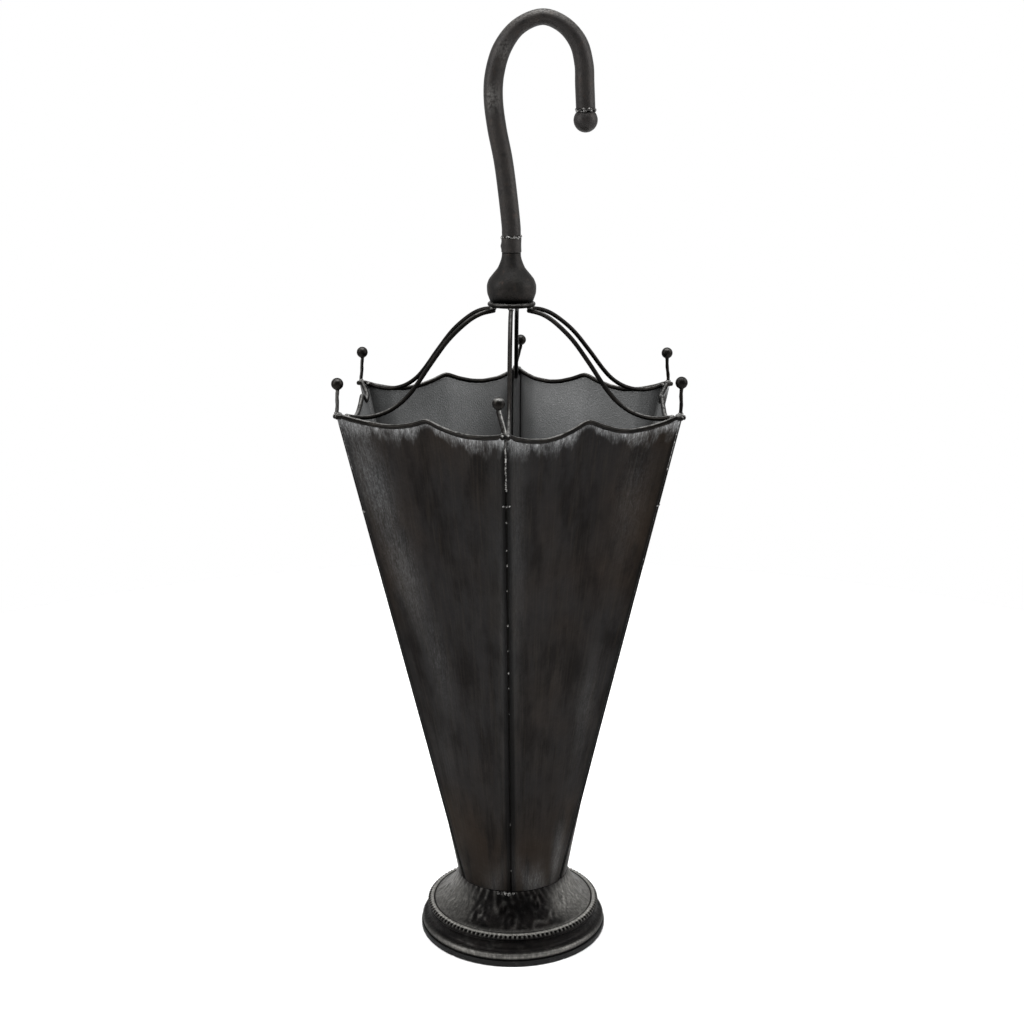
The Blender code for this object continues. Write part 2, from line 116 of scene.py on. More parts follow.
KNOB_FOOT = CROWN_HEIGHT + WIRE_RADIUS + GAP
KNOB_PROFILE = (
    # radius, height above the crown ring
    (0.0182, 0.0000),
    (0.0195, 0.0036),
    (0.0206, 0.0070),
    (0.0209, 0.0115),
    (0.0206, 0.0145),
    (0.0190, 0.0187),
    (0.0155, 0.0233),
    (0.0116, 0.0282),
    (0.0091, 0.0340),
    (0.0082, 0.0375),
    (0.0080, 0.0405),
)
FERRULE_RADIUS = 0.0084
FERRULE_LOW = KNOB_FOOT + KNOB_PROFILE[-1][1] + GAP
FERRULE_TOP = FERRULE_LOW + 0.0125
TUBE_RADIUS = 0.0080
HANDLE_BALL_RADIUS = 0.0100
HANDLE_BALL_FLAT = 0.0026
HANDLE_PATH = (
    # sideways, height above the ferrule, thickness in the bend's plane as a share of the full radius
    (0.0000, 0.0026, 1.0),
    (-0.0004, 0.0116, 1.0),
    (-0.0032, 0.0376, 1.0),
    (-0.0067, 0.0636, 1.0),
    (-0.0118, 0.0893, 1.0),
    (-0.0146, 0.1126, 1.0),
    (-0.0134, 0.1326, 1.0),
    (-0.0069, 0.1530, 0.97),
    (0.0062, 0.1693, 0.86),
    (0.0252, 0.1769, 0.82),
    (0.0424, 0.1708, 0.86),
    (0.0546, 0.1571, 0.94),
    (0.0595, 0.1399, 0.98),
    (0.0603, 0.1241, 1.0),
    (0.0613, 0.1031, 1.0),
)
HANDLE_START = 0.0004


# ---- geometry ----


def smooth(points, per_span, pull=0.5):
    """A cardinal curve: in each span, the four nearest points weighted by cubic polynomials of the share t along it;
    pull 0.5 gives even bends, less gives straighter spans with tighter bends. The end spans carry on straight."""
    points = np.asarray(points, float)
    full = np.vstack([2 * points[0] - points[1], points, 2 * points[-1] - points[-2]])
    t = np.arange(per_span) / per_span
    leave, arrive = pull * (t - 2 * t**2 + t**3), pull * (t**3 - t**2)
    near, far = 1 - 3 * t**2 + 2 * t**3, 3 * t**2 - 2 * t**3
    weights = np.stack([-leave, near - arrive, far + leave, arrive])
    spans = np.stack([full[i : len(full) - 3 + i] for i in range(4)], 1)
    curve = np.einsum("ks,nkd->nsd", weights, spans).reshape(-1, points.shape[1])
    return np.vstack([curve, points[-1]])


def unit(vectors):
    """Vectors divided by their lengths."""
    return vectors / np.linalg.norm(vectors, axis=-1, keepdims=True)


def corner_angle(k):
    """The turn of corner k: corner 0 at -90 degrees, then a sixth of a turn on for each."""
    return math.radians(-90 + 360 / SIDES * k)


def from_corner(k, out, sideways, height):
    """Points given by their distance out along corner k's ray, their step anticlockwise from it and their height."""
    angle = corner_angle(k)
    out, sideways, height = np.broadcast_arrays(out, sideways, height)
    x = out * math.cos(angle) - sideways * math.sin(angle)
    y = out * math.sin(angle) + sideways * math.cos(angle)
    return np.stack([x, y, height], -1).astype(float)


def rim_line(k, height):
    """The scalloped line of side k: each profile point is its share of the chord between two corners, stepped
    inward and up; the second half mirrors the first, and the dips are scaled by the side's own depth."""
    half = np.array(RIM_PROFILE)
    half[:, 2] *= np.where(half[:, 2] < 0, RIM_DEPTHS[k], 1)
    share, inward, rise = np.vstack([half, (half * (-1, 1, 1) + (1, 0, 0))[-2::-1]]).T
    start, end = from_corner(k, TIP_RADIUS, 0, 0), from_corner(k + 1, TIP_RADIUS, 0, 0)
    middle = corner_angle(k + 0.5)
    square = np.array([math.cos(middle), math.sin(middle), 0])
    points = start + (end - start) * share[:, None] - square * inward[:, None]
    points[:, 2] = height + rise
    return points


def grid_faces(rows, columns, wrap_columns=True, wrap_rows=False):
    """Four-sided faces between neighbouring rows and columns of a grid, closed round where it wraps."""
    row = np.arange(rows if wrap_rows else rows - 1)[:, None]
    column = np.arange(columns if wrap_columns else columns - 1)[None, :]
    above, beside = (row + 1) % rows, (column + 1) % columns
    corners = [row * columns + column, row * columns + beside, above * columns + beside, above * columns + column]
    return np.stack(np.broadcast_arrays(*corners), -1).reshape(-1, 4)


def capped(grid, poles):
    """A closed shape from rings of points: faces between the rings, and a fan from each end ring to its pole."""
    rows, columns = grid.shape[:2]
    ring = np.arange(columns)
    beside = (ring + 1) % columns
    last = (rows - 1) * columns
    first_fan = np.stack([beside, ring, np.full(columns, rows * columns)], 1)
    last_fan = np.stack([ring + last, beside + last, np.full(columns, rows * columns + 1)], 1)
    points = np.vstack([grid.reshape(-1, 3), poles])
    return {"points": points, "faces": [grid_faces(rows, columns), first_fan, last_fan]}


def tube(path, side, wide, high=None, count=14, dome=0.5):
    """A rod along a path: at turn a its ring is the path's point plus wide * cos(a) along side plus high * sin(a)
    along the direction square to both; the ends are domes whose rings shrink as the cosine of a rising angle."""
    path = np.asarray(path, float)
    n = len(path)
    along = unit(np.gradient(path, axis=0))
    side = np.broadcast_to(np.asarray(side, float), path.shape)
    side = unit(side - (side * along).sum(1, keepdims=True) * along)
    up = np.cross(along, side)
    wide = np.broadcast_to(np.asarray(wide, float), n)
    high = wide if high is None else np.broadcast_to(np.asarray(high, float), n)
    bend = np.radians([66, 42, 18])
    index = np.r_[0, 0, 0, np.arange(n), n - 1, n - 1, n - 1]
    lift = dome * np.r_[-np.sin(bend), np.zeros(n), np.sin(bend[::-1])]
    shrink = np.r_[np.cos(bend), np.ones(n), np.cos(bend[::-1])]
    a = np.arange(count) * 2 * math.pi / count
    centre = path[index] + along[index] * (lift * wide[index])[:, None]
    ring = (wide[index] * shrink)[:, None, None] * side[index][:, None] * np.cos(a)[:, None]
    ring = ring + (high[index] * shrink)[:, None, None] * up[index][:, None] * np.sin(a)[:, None]
    poles = path[[0, -1]] + along[[0, -1]] * (dome * wide[[0, -1]] * (-1, 1))[:, None]
    made = capped(centre[:, None] + ring, poles)
    outward = unit(side[index][:, None] * np.cos(a)[:, None] + up[index][:, None] * np.sin(a)[:, None])
    made["upward"] = np.r_[outward[:, :, 2].reshape(-1), 0, 0]
    return made


def turned(profile, count, poles=None, shape=None):
    """A turned shape: each (radius, height) of the profile, run upwards on the outside, swept round the axis as
    radius * cos(a), radius * sin(a). Shape may change radius and height by row and turn."""
    radius, height = (np.asarray(profile, float)[:, i : i + 1] for i in (0, 1))
    a = np.arange(count)[None, :] * 2 * math.pi / count
    radius, height, a = (v.copy() for v in np.broadcast_arrays(radius, height, a))
    if shape:
        radius, height = shape(radius, height, a)
    grid = np.stack([radius * np.cos(a), radius * np.sin(a), height], -1)
    if poles:
        return capped(grid, np.array([(0, 0, poles[0]), (0, 0, poles[1])], float))
    return {"points": grid.reshape(-1, 3), "faces": [grid_faces(*grid.shape[:2], wrap_rows=True)]}


def blob(centre, size, random, lumps=0.16, side=None, rows=6, columns=10):
    """A lump of weld: a sphere by rows and columns whose radius is 1 plus a few random waves of the direction,
    stretched to its half sizes along side, along the direction square to it, and upwards."""
    polar = (np.arange(rows) + 0.5)[:, None] * math.pi / rows
    turn = np.arange(columns)[None, :] * 2 * math.pi / columns
    ball = np.stack([np.sin(polar) * np.cos(turn), np.sin(polar) * np.sin(turn), -np.cos(polar) + 0 * turn], -1)
    poles = np.array([(0, 0, -1), (0, 0, 1)], float)
    waves = random.normal(size=(4, 3)) * 2.2
    phases = random.uniform(0, 2 * math.pi, 4)

    def swell(v):
        return v * (1 + lumps * np.sin(v @ waves.T + phases).mean(-1, keepdims=True) * 2)

    side = unit(np.asarray((1, 0, 0) if side is None else side, float))
    axes = np.stack([side, np.cross((0, 0, 1), side), (0, 0, 1)])
    shape = capped(swell(ball), swell(poles))
    shape["points"] = shape["points"] * size @ axes + centre
    return shape


def joined(shapes):
    """Several closed shapes as one mesh's points, faces and values."""
    points, faces, values, shift = [], [], {}, 0
    for shape in shapes:
        points.append(shape["points"])
        faces += [f + shift for f in shape["faces"]]
        shift += len(shape["points"])
    for name in set(shapes[0]) - {"points", "faces", "materials"}:
        values[name] = np.concatenate([shape[name] for shape in shapes])
    return {"points": np.vstack(points), "faces": faces, **values}


def placed(name, data):
    """A new object of the scene, unturned at the origin."""
    obj = bpy.data.objects.new(name, data)
    bpy.context.scene.collection.objects.link(obj)
    return obj


def rubbed(shape, amount):
    """The same share of rubbed metal all over a shape."""
    shape["rub"] = np.full(len(shape["points"]), float(amount))
    return shape


def round_profile(radius, rows):
    """A sphere's profile from bottom to top, without its poles: radius times the sine and cosine of the angle."""
    polar = np.linspace(math.pi, 0, rows)[1:-1]
    return np.stack([radius * np.sin(polar), radius * np.cos(polar)], 1)


def round_edges(radius, low, high, edge):
    """The lower and the upper rounded edge of a band: quarter circles of radius edge."""
    arc = np.linspace(0, math.pi / 2, 6)
    lower = np.stack([radius - edge + edge * np.sin(arc), low + edge - edge * np.cos(arc)], 1)
    upper = np.stack([radius - edge + edge * np.cos(arc), high - edge + edge * np.sin(arc)], 1)
    return lower, upper


def piece(name, shape, finishes, replaces=()):
    """Puts a shape's whole arrays into a mesh, with its values as attributes, and hands the piece to the frame."""
    mesh = bpy.data.meshes.new(name)
    faces = [face for block in shape["faces"] for face in block.tolist()]
    mesh.from_pydata(shape["points"].tolist(), [], faces)
    for key in sorted(set(shape) - {"points", "faces", "materials", "upward"}):
        values = np.asarray(shape[key], np.float32)
        kind, field = ("FLOAT_VECTOR", "vector") if values.ndim == 2 else ("FLOAT", "value")
        mesh.attributes.new(key, kind, "POINT").data.foreach_set(field, values.reshape(-1))
    for finish in finishes if isinstance(finishes, (list, tuple)) else [finishes]:
        mesh.materials.append(finish)
    if "materials" in shape:
        mesh.polygons.foreach_set("material_index", np.asarray(shape["materials"], np.int32))
    mesh.polygons.foreach_set("use_smooth", np.ones(len(mesh.polygons), bool))
    mesh.update()
    obj = placed(name, mesh)
    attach(obj, "root")
    if replaces:
        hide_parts(*replaces)
    return obj


# ---- finishes ----


def linear(text):
    """A '#rrggbb' sRGB colour as linear values."""
    srgb = np.array([int(text[i : i + 2], 16) for i in (1, 3, 5)]) / 255
    flat = np.where(srgb <= 0.04045, srgb / 12.92, ((srgb + 0.055) / 1.055) ** 2.4)
    return (*map(float, flat), 1.0)


def add(tree, kind, sockets=None, out=0, **settings):
    """Adds a node and gives its output. Settings are its properties; sockets are its inputs, each given a value or
    another node's output; out is the output's place or name."""
    made = tree.nodes.new("ShaderNode" + kind)
    for name, value in settings.items():
        setattr(made, name, value)
    for key, value in (sockets or {}).items():
        if isinstance(value, bpy.types.NodeSocket):
            tree.links.new(value, made.inputs[key])
        else:
            made.inputs[key].default_value = value
    return made.outputs[out]


def cloud(node, place, grain, low, high, seed=0.0, detail=3.0):
    """Noise whose features are grain metres long in each direction, from 0 at its value low to 1 at high."""
    scale = tuple(1 / g for g in (grain if isinstance(grain, tuple) else (grain,) * 3))
    moved = node("Mapping", {"Vector": place, "Location": (seed, seed * 1.7, seed * 2.3), "Scale": scale})
    noise = node("TexNoise", {"Vector": moved, "Scale": 1.0, "Detail": detail, "Roughness": 0.6})
    return node("MapRange", {"Value": noise, "From Min": low, "From Max": high}, interpolation_type="SMOOTHSTEP")


def stack(node, base, layers):
    """Lays each layer's colour or number over what is under it, by its mask, times its strength if it has one."""
    kind, under_key, over_key, out = ("RGBA", 6, 7, 2) if isinstance(base, tuple) else ("FLOAT", 2, 3, 0)
    under = base
    for over, mask, *strength in layers:
        if strength:
            mask = node("Math", {0: mask, 1: strength[0]}, operation="MULTIPLY")
        under = node("Mix", {0: mask, under_key: under, over_key: over}, out=out, data_type=kind)
    return under


def finish(name, paint, colour, roughness, metallic, edge_tint=1.0):
    """One Principled finish. Paint gives, from a node adder and the object's coordinates, the layers of colour,
    roughness and metal as (value, mask) or (value, mask, strength), and its bumps as (height, metres) pairs."""
    made = bpy.data.materials.new(name)
    made.use_nodes = True
    tree = made.node_tree
    shader = tree.nodes["Principled BSDF"]
    node = partial(add, tree)
    layers = paint(node, node("TexCoord", out="Object"))
    for socket, base in (("Base Color", linear(colour)), ("Roughness", roughness), ("Metallic", metallic)):
        if socket in layers:
            tree.links.new(stack(node, base, layers[socket]), shader.inputs[socket])
        else:
            shader.inputs[socket].default_value = base
    shader.inputs["Specular Tint"].default_value = (edge_tint, edge_tint, edge_tint, 1)
    bump = None
    for height, metres in layers["bumps"]:
        under = {"Normal": bump} if bump else {}
        bump = node("Bump", {"Height": height, "Distance": metres, "Strength": 1.0, **under})
    if bump:
        tree.links.new(bump, shader.inputs["Normal"])
    return made


# Blackened mild-steel sheet: hot-blackened, brushed down the sheet and rubbed with silver paste below the rim. A warm
# near-black with faint streaks, grey where the paste caught, and painted shade in the groove beside each seam. Brush
# hairs are drawn 0.8 mm wide and streaks 2 mm, coarser than real ones.
def blackened_sheet(node, place):
    marks = node("Attribute", attribute_name="sheet", out="Vector")
    down = node("SeparateXYZ", {0: marks}, out="Y")
    seam = node("SeparateXYZ", {0: marks}, out="Z")
    rub = node("Attribute", attribute_name="rub", out="Fac")
    warm = cloud(node, place, 0.16, 0.35, 0.65, seed=3)
    blotch = cloud(node, marks, (0.022, 0.060, 1.0), 0.42, 0.68, seed=7, detail=5)
    streak = cloud(node, marks, (0.0020, 0.040, 1.0), 0.42, 0.78, seed=1)
    hair = cloud(node, marks, (0.0008, 0.008, 1.0), 0.34, 0.74, seed=5, detail=4)
    fleck = cloud(node, marks, (0.0009, 0.0020, 1.0), 0.44, 0.74, seed=15, detail=4)
    patch = cloud(node, marks, (0.013, 0.030, 1.0), 0.30, 0.72, seed=9)
    dry = node("Math", {0: hair, 1: 0.46, 2: 0.16}, operation="MULTIPLY_ADD")
    dry = node("Math", {0: fleck, 1: 0.52, 2: dry}, operation="MULTIPLY_ADD", use_clamp=True)
    wiped = node("Math", {0: rub, 1: dry}, operation="MULTIPLY")
    reach = node("Math", {0: patch, 1: 0.0125, 2: 0.0035}, operation="MULTIPLY_ADD")
    near = node("Math", {0: down, 1: reach}, operation="DIVIDE")
    band = node("MapRange", {"Value": near, "From Min": 1.5, "From Max": 0.0})
    band = node("Math", {0: band, 1: 2.2}, operation="POWER")
    band = node("Math", {0: band, 1: node("Math", {0: dry, 1: 1.15}, operation="MULTIPLY")}, operation="MULTIPLY")
    band = node("Math", {0: band, 1: node("Math", {0: patch, 1: 0.60, 2: 0.34}, operation="MULTIPLY_ADD")},
                operation="MULTIPLY")
    # painted shade: near-black in the groove beside each seam
    groove = node("MapRange", {"Value": seam, "From Min": 0.0046, "From Max": 0.0004},
                  interpolation_type="SMOOTHSTEP")
    return {
        "Base Color": [
            (linear("#1a1919"), warm),
            (linear("#0c0a09"), blotch, 0.92),
            (linear("#28241f"), streak, 0.36),
            (linear("#050505"), groove, 0.85),
            (linear("#7d7e7f"), wiped),
            (linear("#b4b5b6"), band),
        ],
        "Roughness": [(0.60, cloud(node, place, 0.02, 0.3, 0.7, seed=21)), (0.42, wiped), (0.50, band)],
        "bumps": [(streak, 0.00003), (cloud(node, place, 0.004, 0.3, 0.7, seed=2), 0.00004)],
    }


PANEL = finish("blackened_steel_sheet", blackened_sheet, "#201a15", 0.50, 0.92, edge_tint=0.7)


# Baked sandy coating inside the well: a grey stoving paint with sand grains of about 1 mm, satin between them,
# darker towards each corner and near-black in the folds as painted shade.
def sandy_coat(node, place):
    seam = node("SeparateXYZ", {0: node("Attribute", attribute_name="sheet", out="Vector")}, out="Z")
    grain = cloud(node, place, 0.0011, 0.48, 0.72, seed=5)
    # painted shade: darker within 30 mm of each seam, near-black in the fold itself
    beside = node("MapRange", {"Value": seam, "From Min": 0.030, "From Max": 0.0},
                  interpolation_type="SMOOTHSTEP")
    fold = node("MapRange", {"Value": seam, "From Min": 0.0020, "From Max": -0.0005},
                interpolation_type="SMOOTHSTEP")
    return {
        "Base Color": [
            (linear("#676869"), grain),
            (linear("#3e3f40"), cloud(node, place, 0.0010, 0.50, 0.74, seed=8)),
            (linear("#424343"), cloud(node, place, 0.070, 0.40, 0.70, seed=18)),
            (linear("#333333"), beside, 0.60),
            (linear("#1a1918"), fold, 0.70),
        ],
        "Roughness": [(0.34, grain)],
        "bumps": [(cloud(node, place, 0.0012, 0.35, 0.70, seed=5), 0.00010)],
    }


COAT = finish("sandy_stoving_paint", sandy_coat, "#4f5050", 0.42, 0.0)


# Blackened steel wire: drawn, bent by hand, satin, rubbed grey along its upper side; that grey on the tops of the
# wires, down one side of each pin and round the upper part of each ball is also a painted highlight.
def blackened_wire(node, place):
    rub = node("Attribute", attribute_name="rub", out="Fac")
    # the grey layer is partly rubbed wear, partly painted highlight, as the shape's values give it
    worn_and_highlit = node("Math", {0: rub, 1: cloud(node, place, 0.0035, 0.25, 0.62, seed=11)}, operation="MULTIPLY")
    burnt = cloud(node, place, 0.005, 0.52, 0.75, seed=6)
    return {
        "Base Color": [
            (linear("#1a1816"), cloud(node, place, 0.012, 0.35, 0.70, seed=2)),
            (linear("#070707"), burnt, 0.6),
            (linear("#a5a4a1"), worn_and_highlit),
        ],
        "Roughness": [(0.36, worn_and_highlit), (0.55, burnt)],
        "Metallic": [(0.5, worn_and_highlit)],
        "bumps": [(cloud(node, place, 0.0060, 0.3, 0.7, seed=12, detail=1.0), 0.00006)],
    }


WIRE = finish("blackened_steel_wire", blackened_wire, "#11100f", 0.42, 0.93, edge_tint=0.6)


# Matt black paint on the steel handle: brushed on, slightly pebbled, browned where the steel shows through, rubbed
# grey in places, which on the tube's crest is also a painted highlight, and near-black painted shade just above the
# knob's foot.
def black_paint(node, place):
    rub = node("Attribute", attribute_name="rub", out="Fac")
    thin = cloud(node, place, 0.024, 0.40, 0.75, seed=3)
    thick = cloud(node, place, 0.010, 0.50, 0.75, seed=4)
    brown = cloud(node, place, 0.005, 0.55, 0.78, seed=14)
    worn_and_highlit = node("Math", {0: rub, 1: cloud(node, place, 0.0020, 0.35, 0.60, seed=15)}, operation="MULTIPLY")
    # painted shade: near-black from the knob's foot up to 1.2 mm, fading out by 5.5 mm
    height = node("SeparateXYZ", {0: place}, out="Z")
    painted_foot_shade = {"Value": height, "From Min": KNOB_FOOT + 0.0055, "From Max": KNOB_FOOT + 0.0012}
    painted_foot_shade = node("MapRange", painted_foot_shade, interpolation_type="SMOOTHSTEP")
    return {
        "Base Color": [
            (linear("#2b2826"), thin),
            (linear("#161515"), thick),
            (linear("#352c27"), brown, 0.5),
            (linear("#8b8986"), worn_and_highlit),
            (linear("#020202"), painted_foot_shade),
        ],
        "Roughness": [(0.62, thin), (0.46, thick), (0.40, worn_and_highlit)],
        "Metallic": [(1.0, painted_foot_shade)],
        "bumps": [
            (cloud(node, place, 0.0024, 0.3, 0.7, seed=16), 0.00009),
            (cloud(node, place, 0.010, 0.3, 0.7, seed=17), 0.00022),
        ],
    }


HANDLE = finish("matt_black_paint", black_paint, "#232120", 0.52, 0.72, edge_tint=0.8)
# The same paint laid on thicker on the knob: darker and duller, with painted shade in the corner at its foot.
KNOB = finish("thick_black_paint", black_paint, "#171615", 0.56, 0.80, edge_tint=0.7)


# Pressed steel foot: blackened like the body, its relief rubbed back to grey on the high places. The same grey is
# also a painted highlight along the moulding's front and the bead ring's top line, and a painted reflection on the
# slope's two sides; near-black painted shade lies in the low places and in the bead ring's notches.
def blackened_pressing(node, place):
    rub = node("Attribute", attribute_name="rub", out="Fac")
    bright = node("Attribute", attribute_name="bright", out="Fac")
    shade = node("Attribute", attribute_name="shade", out="Fac")
    smear = cloud(node, place, (0.0022, 0.0022, 0.0060), 0.36, 0.74, seed=19, detail=4)
    smear = node("Math", {0: smear, 1: 0.50, 2: 0.40}, operation="MULTIPLY_ADD")
    worn_and_highlit = node("Math", {0: rub, 1: smear}, operation="MULTIPLY")
    haze = cloud(node, place, 0.009, 0.52, 0.80, seed=33)
    worn_and_highlit = node("Math", {0: haze, 1: 0.05, 2: worn_and_highlit}, operation="MULTIPLY_ADD")
    burnt = cloud(node, place, 0.006, 0.52, 0.78, seed=6)
    chipped = node("Math", {0: bright, 1: cloud(node, place, 0.0028, 0.42, 0.58, seed=24)}, operation="MULTIPLY")
    return {
        "Base Color": [
            (linear("#151312"), cloud(node, place, 0.014, 0.35, 0.70, seed=5)),
            (linear("#080808"), burnt),
            (linear("#9d9b96"), worn_and_highlit),
            (linear("#5a3524"), cloud(node, place, 0.0045, 0.80, 0.84, seed=23)),
            (linear("#c6c7c8"), chipped),
            (linear("#010101"), shade),
        ],
        "Roughness": [(0.42, worn_and_highlit), (0.60, burnt)],
        "Metallic": [(0.35, worn_and_highlit), (1.0, shade)],
        "bumps": [(cloud(node, place, 0.0028, 0.3, 0.7, seed=25), 0.00015)],
    }


FOOT = finish("blackened_pressed_steel", blackened_pressing, "#0d0c0c", 0.46, 0.92, edge_tint=0.7)


# Black rubbery paint on the lowest edge: nearly matt, with a few scuffs.
def edge_paint(node, place):
    dull = cloud(node, place, 0.010, 0.50, 0.75, seed=8)
    scuff = cloud(node, place, 0.0025, 0.62, 0.75, seed=9)
    return {
        "Base Color": [(linear("#1b1a19"), dull), (linear("#5a5854"), scuff, 0.7)],
        "Roughness": [(0.48, dull)],
        "bumps": [(cloud(node, place, 0.002, 0.3, 0.7, seed=26), 0.00010)],
    }


EDGE = finish("black_edge_paint", edge_paint, "#121212", 0.62, 0.75)


# Arc-weld metal brushed over with the black: bright ragged steel on the crests, burnt black between.
def weld_metal(node, place):
    burnt = cloud(node, place, 0.0022, 0.56, 0.66, seed=28)
    crest = cloud(node, place, 0.0016, 0.46, 0.60, seed=27)
    return {
        "Base Color": [(linear("#8c8b89"), crest), (linear("#131212"), burnt)],
        "Roughness": [(0.60, burnt)],
        "Metallic": [(0.4, burnt)],
        "bumps": [(cloud(node, place, 0.0012, 0.3, 0.7, seed=29), 0.00015)],
    }


WELD = finish("arc_weld_steel", weld_metal, "#3c3b3a", 0.38, 0.95)


# Turned bright mild steel for the hidden rod: fine rings from the lathe.
def turned_steel(node, place):
    rings = cloud(node, place, (0.05, 0.05, 0.0008), 0.4, 0.6, seed=30)
    return {
        "Base Color": [(linear("#8e8d8a"), rings)],
        "Roughness": [(0.42, rings)],
        "bumps": [(rings, 0.00002)],
    }


ROD = finish("turned_mild_steel", turned_steel, "#b4b2ae", 0.30, 1.0)


# ---- body panels ----

PANEL_ROWS = 56
WIPES = {
    # panel: (share across, metres down, half width as a share, half length in metres, lean, strength)
    0: ((0.10, 0.10, 0.07, 0.12, 0.0, 0.10), (0.80, 0.06, 0.10, 0.05, 0.3, 0.10),
        (0.76, 0.26, 0.10, 0.05, 0.2, 0.12),
        (0.42, 0.437, 0.18, 0.022, 2.0, 0.46),
        (0.74, 0.412, 0.09, 0.032, 0.4, 0.42), (0.12, 0.43, 0.08, 0.02, 0, 0.14)),
    5: ((0.13, 0.05, 0.10, 0.05, 0.6, 0.42), (0.20, 0.125, 0.11, 0.055, 0.8, 0.28),
        (0.34, 0.21, 0.10, 0.05, 0.8, 0.14),
        (0.25, 0.30, 0.12, 0.04, 0.4, 0.06), (0.93, 0.16, 0.04, 0.10, 0.0, 0.06),
        (0.70, 0.435, 0.16, 0.02, -1, 0.22)),
    1: ((0.25, 0.09, 0.12, 0.07, 0.5, 0.55), (0.70, 0.20, 0.12, 0.08, -0.4, 0.35),
        (0.50, 0.42, 0.2, 0.02, 1.0, 0.5)),
    2: ((0.75, 0.10, 0.10, 0.06, -0.5, 0.55), (0.30, 0.22, 0.14, 0.07, 0.4, 0.30),
        (0.40, 0.42, 0.2, 0.02, -1.0, 0.4)),
    3: ((0.30, 0.08, 0.13, 0.06, 0.4, 0.50), (0.65, 0.17, 0.10, 0.08, -0.3, 0.35),
        (0.60, 0.41, 0.2, 0.02, 1.2, 0.5)),
    4: ((0.70, 0.10, 0.12, 0.07, -0.6, 0.60), (0.25, 0.20, 0.12, 0.07, 0.3, 0.30),
        (0.50, 0.42, 0.2, 0.02, -1.0, 0.4)),
}


def seam_fold(k, side, corner_radius, height):
    """The folded lip of a panel at corner k, free edge first; side is +1 or -1 from the seam."""
    beside = (GAP + SHEET) / 2
    depth = np.array([LIP_DEPTH, FOLD * 1.3, FOLD * 0.75, FOLD * 0.4, FOLD * 0.12, 0.0, FOLD * 0.12, FOLD * 0.5])
    step = np.array([0.0, 0.0, FOLD * 0.08, FOLD * 0.3, FOLD * 0.65, FOLD, FOLD * 1.4, FOLD * 1.9]) + beside
    return from_corner(k, corner_radius - depth, side * step, height)


def panel(k):
    """Straight lines from the round bottom edge to the scalloped top edge, at shares t of the height that crowd
    towards the rim, stepped in and out by low waves, then given a skin half the sheet's thickness to each side."""
    start, end = seam_fold(k, 1, CORNER_TOP, PANEL_TOP), seam_fold(k + 1, -1, CORNER_TOP, PANEL_TOP)[::-1]
    curve = smooth(np.vstack([start[-1], rim_line(k, PANEL_TOP), end[0]]), 5, RIM_TENSION)
    top = np.vstack([start[:-1], curve, end[1:]])
    low_start = seam_fold(k, 1, CORNER_FOOT, BODY_FOOT)
    low_end = seam_fold(k + 1, -1, CORNER_FOOT, BODY_FOOT)[::-1]
    inner = len(top) - len(low_start) - len(low_end)
    first, last = np.arctan2(low_start[-1, 1], low_start[-1, 0]), np.arctan2(low_end[0, 1], low_end[0, 0])
    angle = first + ((last - first) % (2 * math.pi)) * np.arange(1, inner + 1) / (inner + 1)
    arc = np.stack([CORNER_FOOT * np.cos(angle), CORNER_FOOT * np.sin(angle), np.full(inner, BODY_FOOT)], 1)
    foot = np.vstack([low_start, arc, low_end])
    share = 1 - np.linspace(1, 0, PANEL_ROWS - 1) ** 1.35
    share = np.insert(share, 1, 0.0015)[:, None, None]
    middle = foot + (top - foot) * share

    across_step = np.linalg.norm(np.diff(middle, axis=1), axis=2)
    across = np.concatenate([np.zeros((PANEL_ROWS, 1)), np.cumsum(across_step, 1)], 1)
    width = across[:, -1:]
    down = np.linalg.norm(top - middle, axis=2)
    fold = across[:, 5:6]
    seam = np.minimum(across, width - across) - fold

    random = np.random.default_rng(40 + k)
    steps = np.zeros(seam.shape)
    for _ in range(7):
        along_wave, across_wave = random.uniform(18, 70, 2)
        steps += np.sin(down * along_wave + across * across_wave + random.uniform(0, 6)) * 0.00012
    inward_row, inward_column = np.gradient(middle, axis=0), np.gradient(middle, axis=1)
    outward = unit(np.cross(inward_column, inward_row))
    quiet = np.clip((seam - 0.008) / 0.02, 0, 1) * np.clip(down / 0.02, 0, 1) * np.clip((0.43 - down) / 0.03, 0, 1)
    middle = middle + outward * (steps * quiet)[..., None]

    rub = np.zeros(seam.shape)
    for centre, depth, half_width, half_length, lean, strength in WIPES[k]:
        v = (down - depth) / half_length
        u = (across / width - centre - lean * half_width * v * 0.5) / half_width
        rub = np.maximum(rub, strength * np.exp(-(u**2) * 1.2 - v**2))

    skins = [middle + outward * SHEET / 2, middle - outward * SHEET / 2]
    grid = np.concatenate([skins[0], skins[1][:, ::-1]], 1)
    rows, columns = grid.shape[:2]
    half = columns // 2
    faces = grid_faces(rows, columns)
    c = np.arange(half - 1)
    bottom = np.stack([c + 1, c, columns - 1 - c, columns - 2 - c], 1)
    top_row = (rows - 1) * columns
    over = np.stack([c, c + 1, columns - 2 - c, columns - 1 - c], 1) + top_row
    converging = (across / width - 0.5) * TIP_RADIUS
    sheet = np.stack([converging, down, seam], -1)
    inside = np.tile(np.arange(columns) >= half, rows - 1)
    return {
        "points": grid.reshape(-1, 3),
        "faces": [faces, bottom, over],
        "sheet": np.concatenate([sheet, sheet[:, ::-1]], 1).reshape(-1, 3),
        "rub": np.concatenate([rub, rub[:, ::-1]], 1).reshape(-1),
        "materials": np.r_[inside.astype(int), np.zeros(2 * (half - 1), int)],
    }


for k in range(SIDES):
    piece(f"panel_{k + 1}", panel(k), [PANEL, COAT], [f"body_panel_{k + 1}"])


# ---- seam welds ----

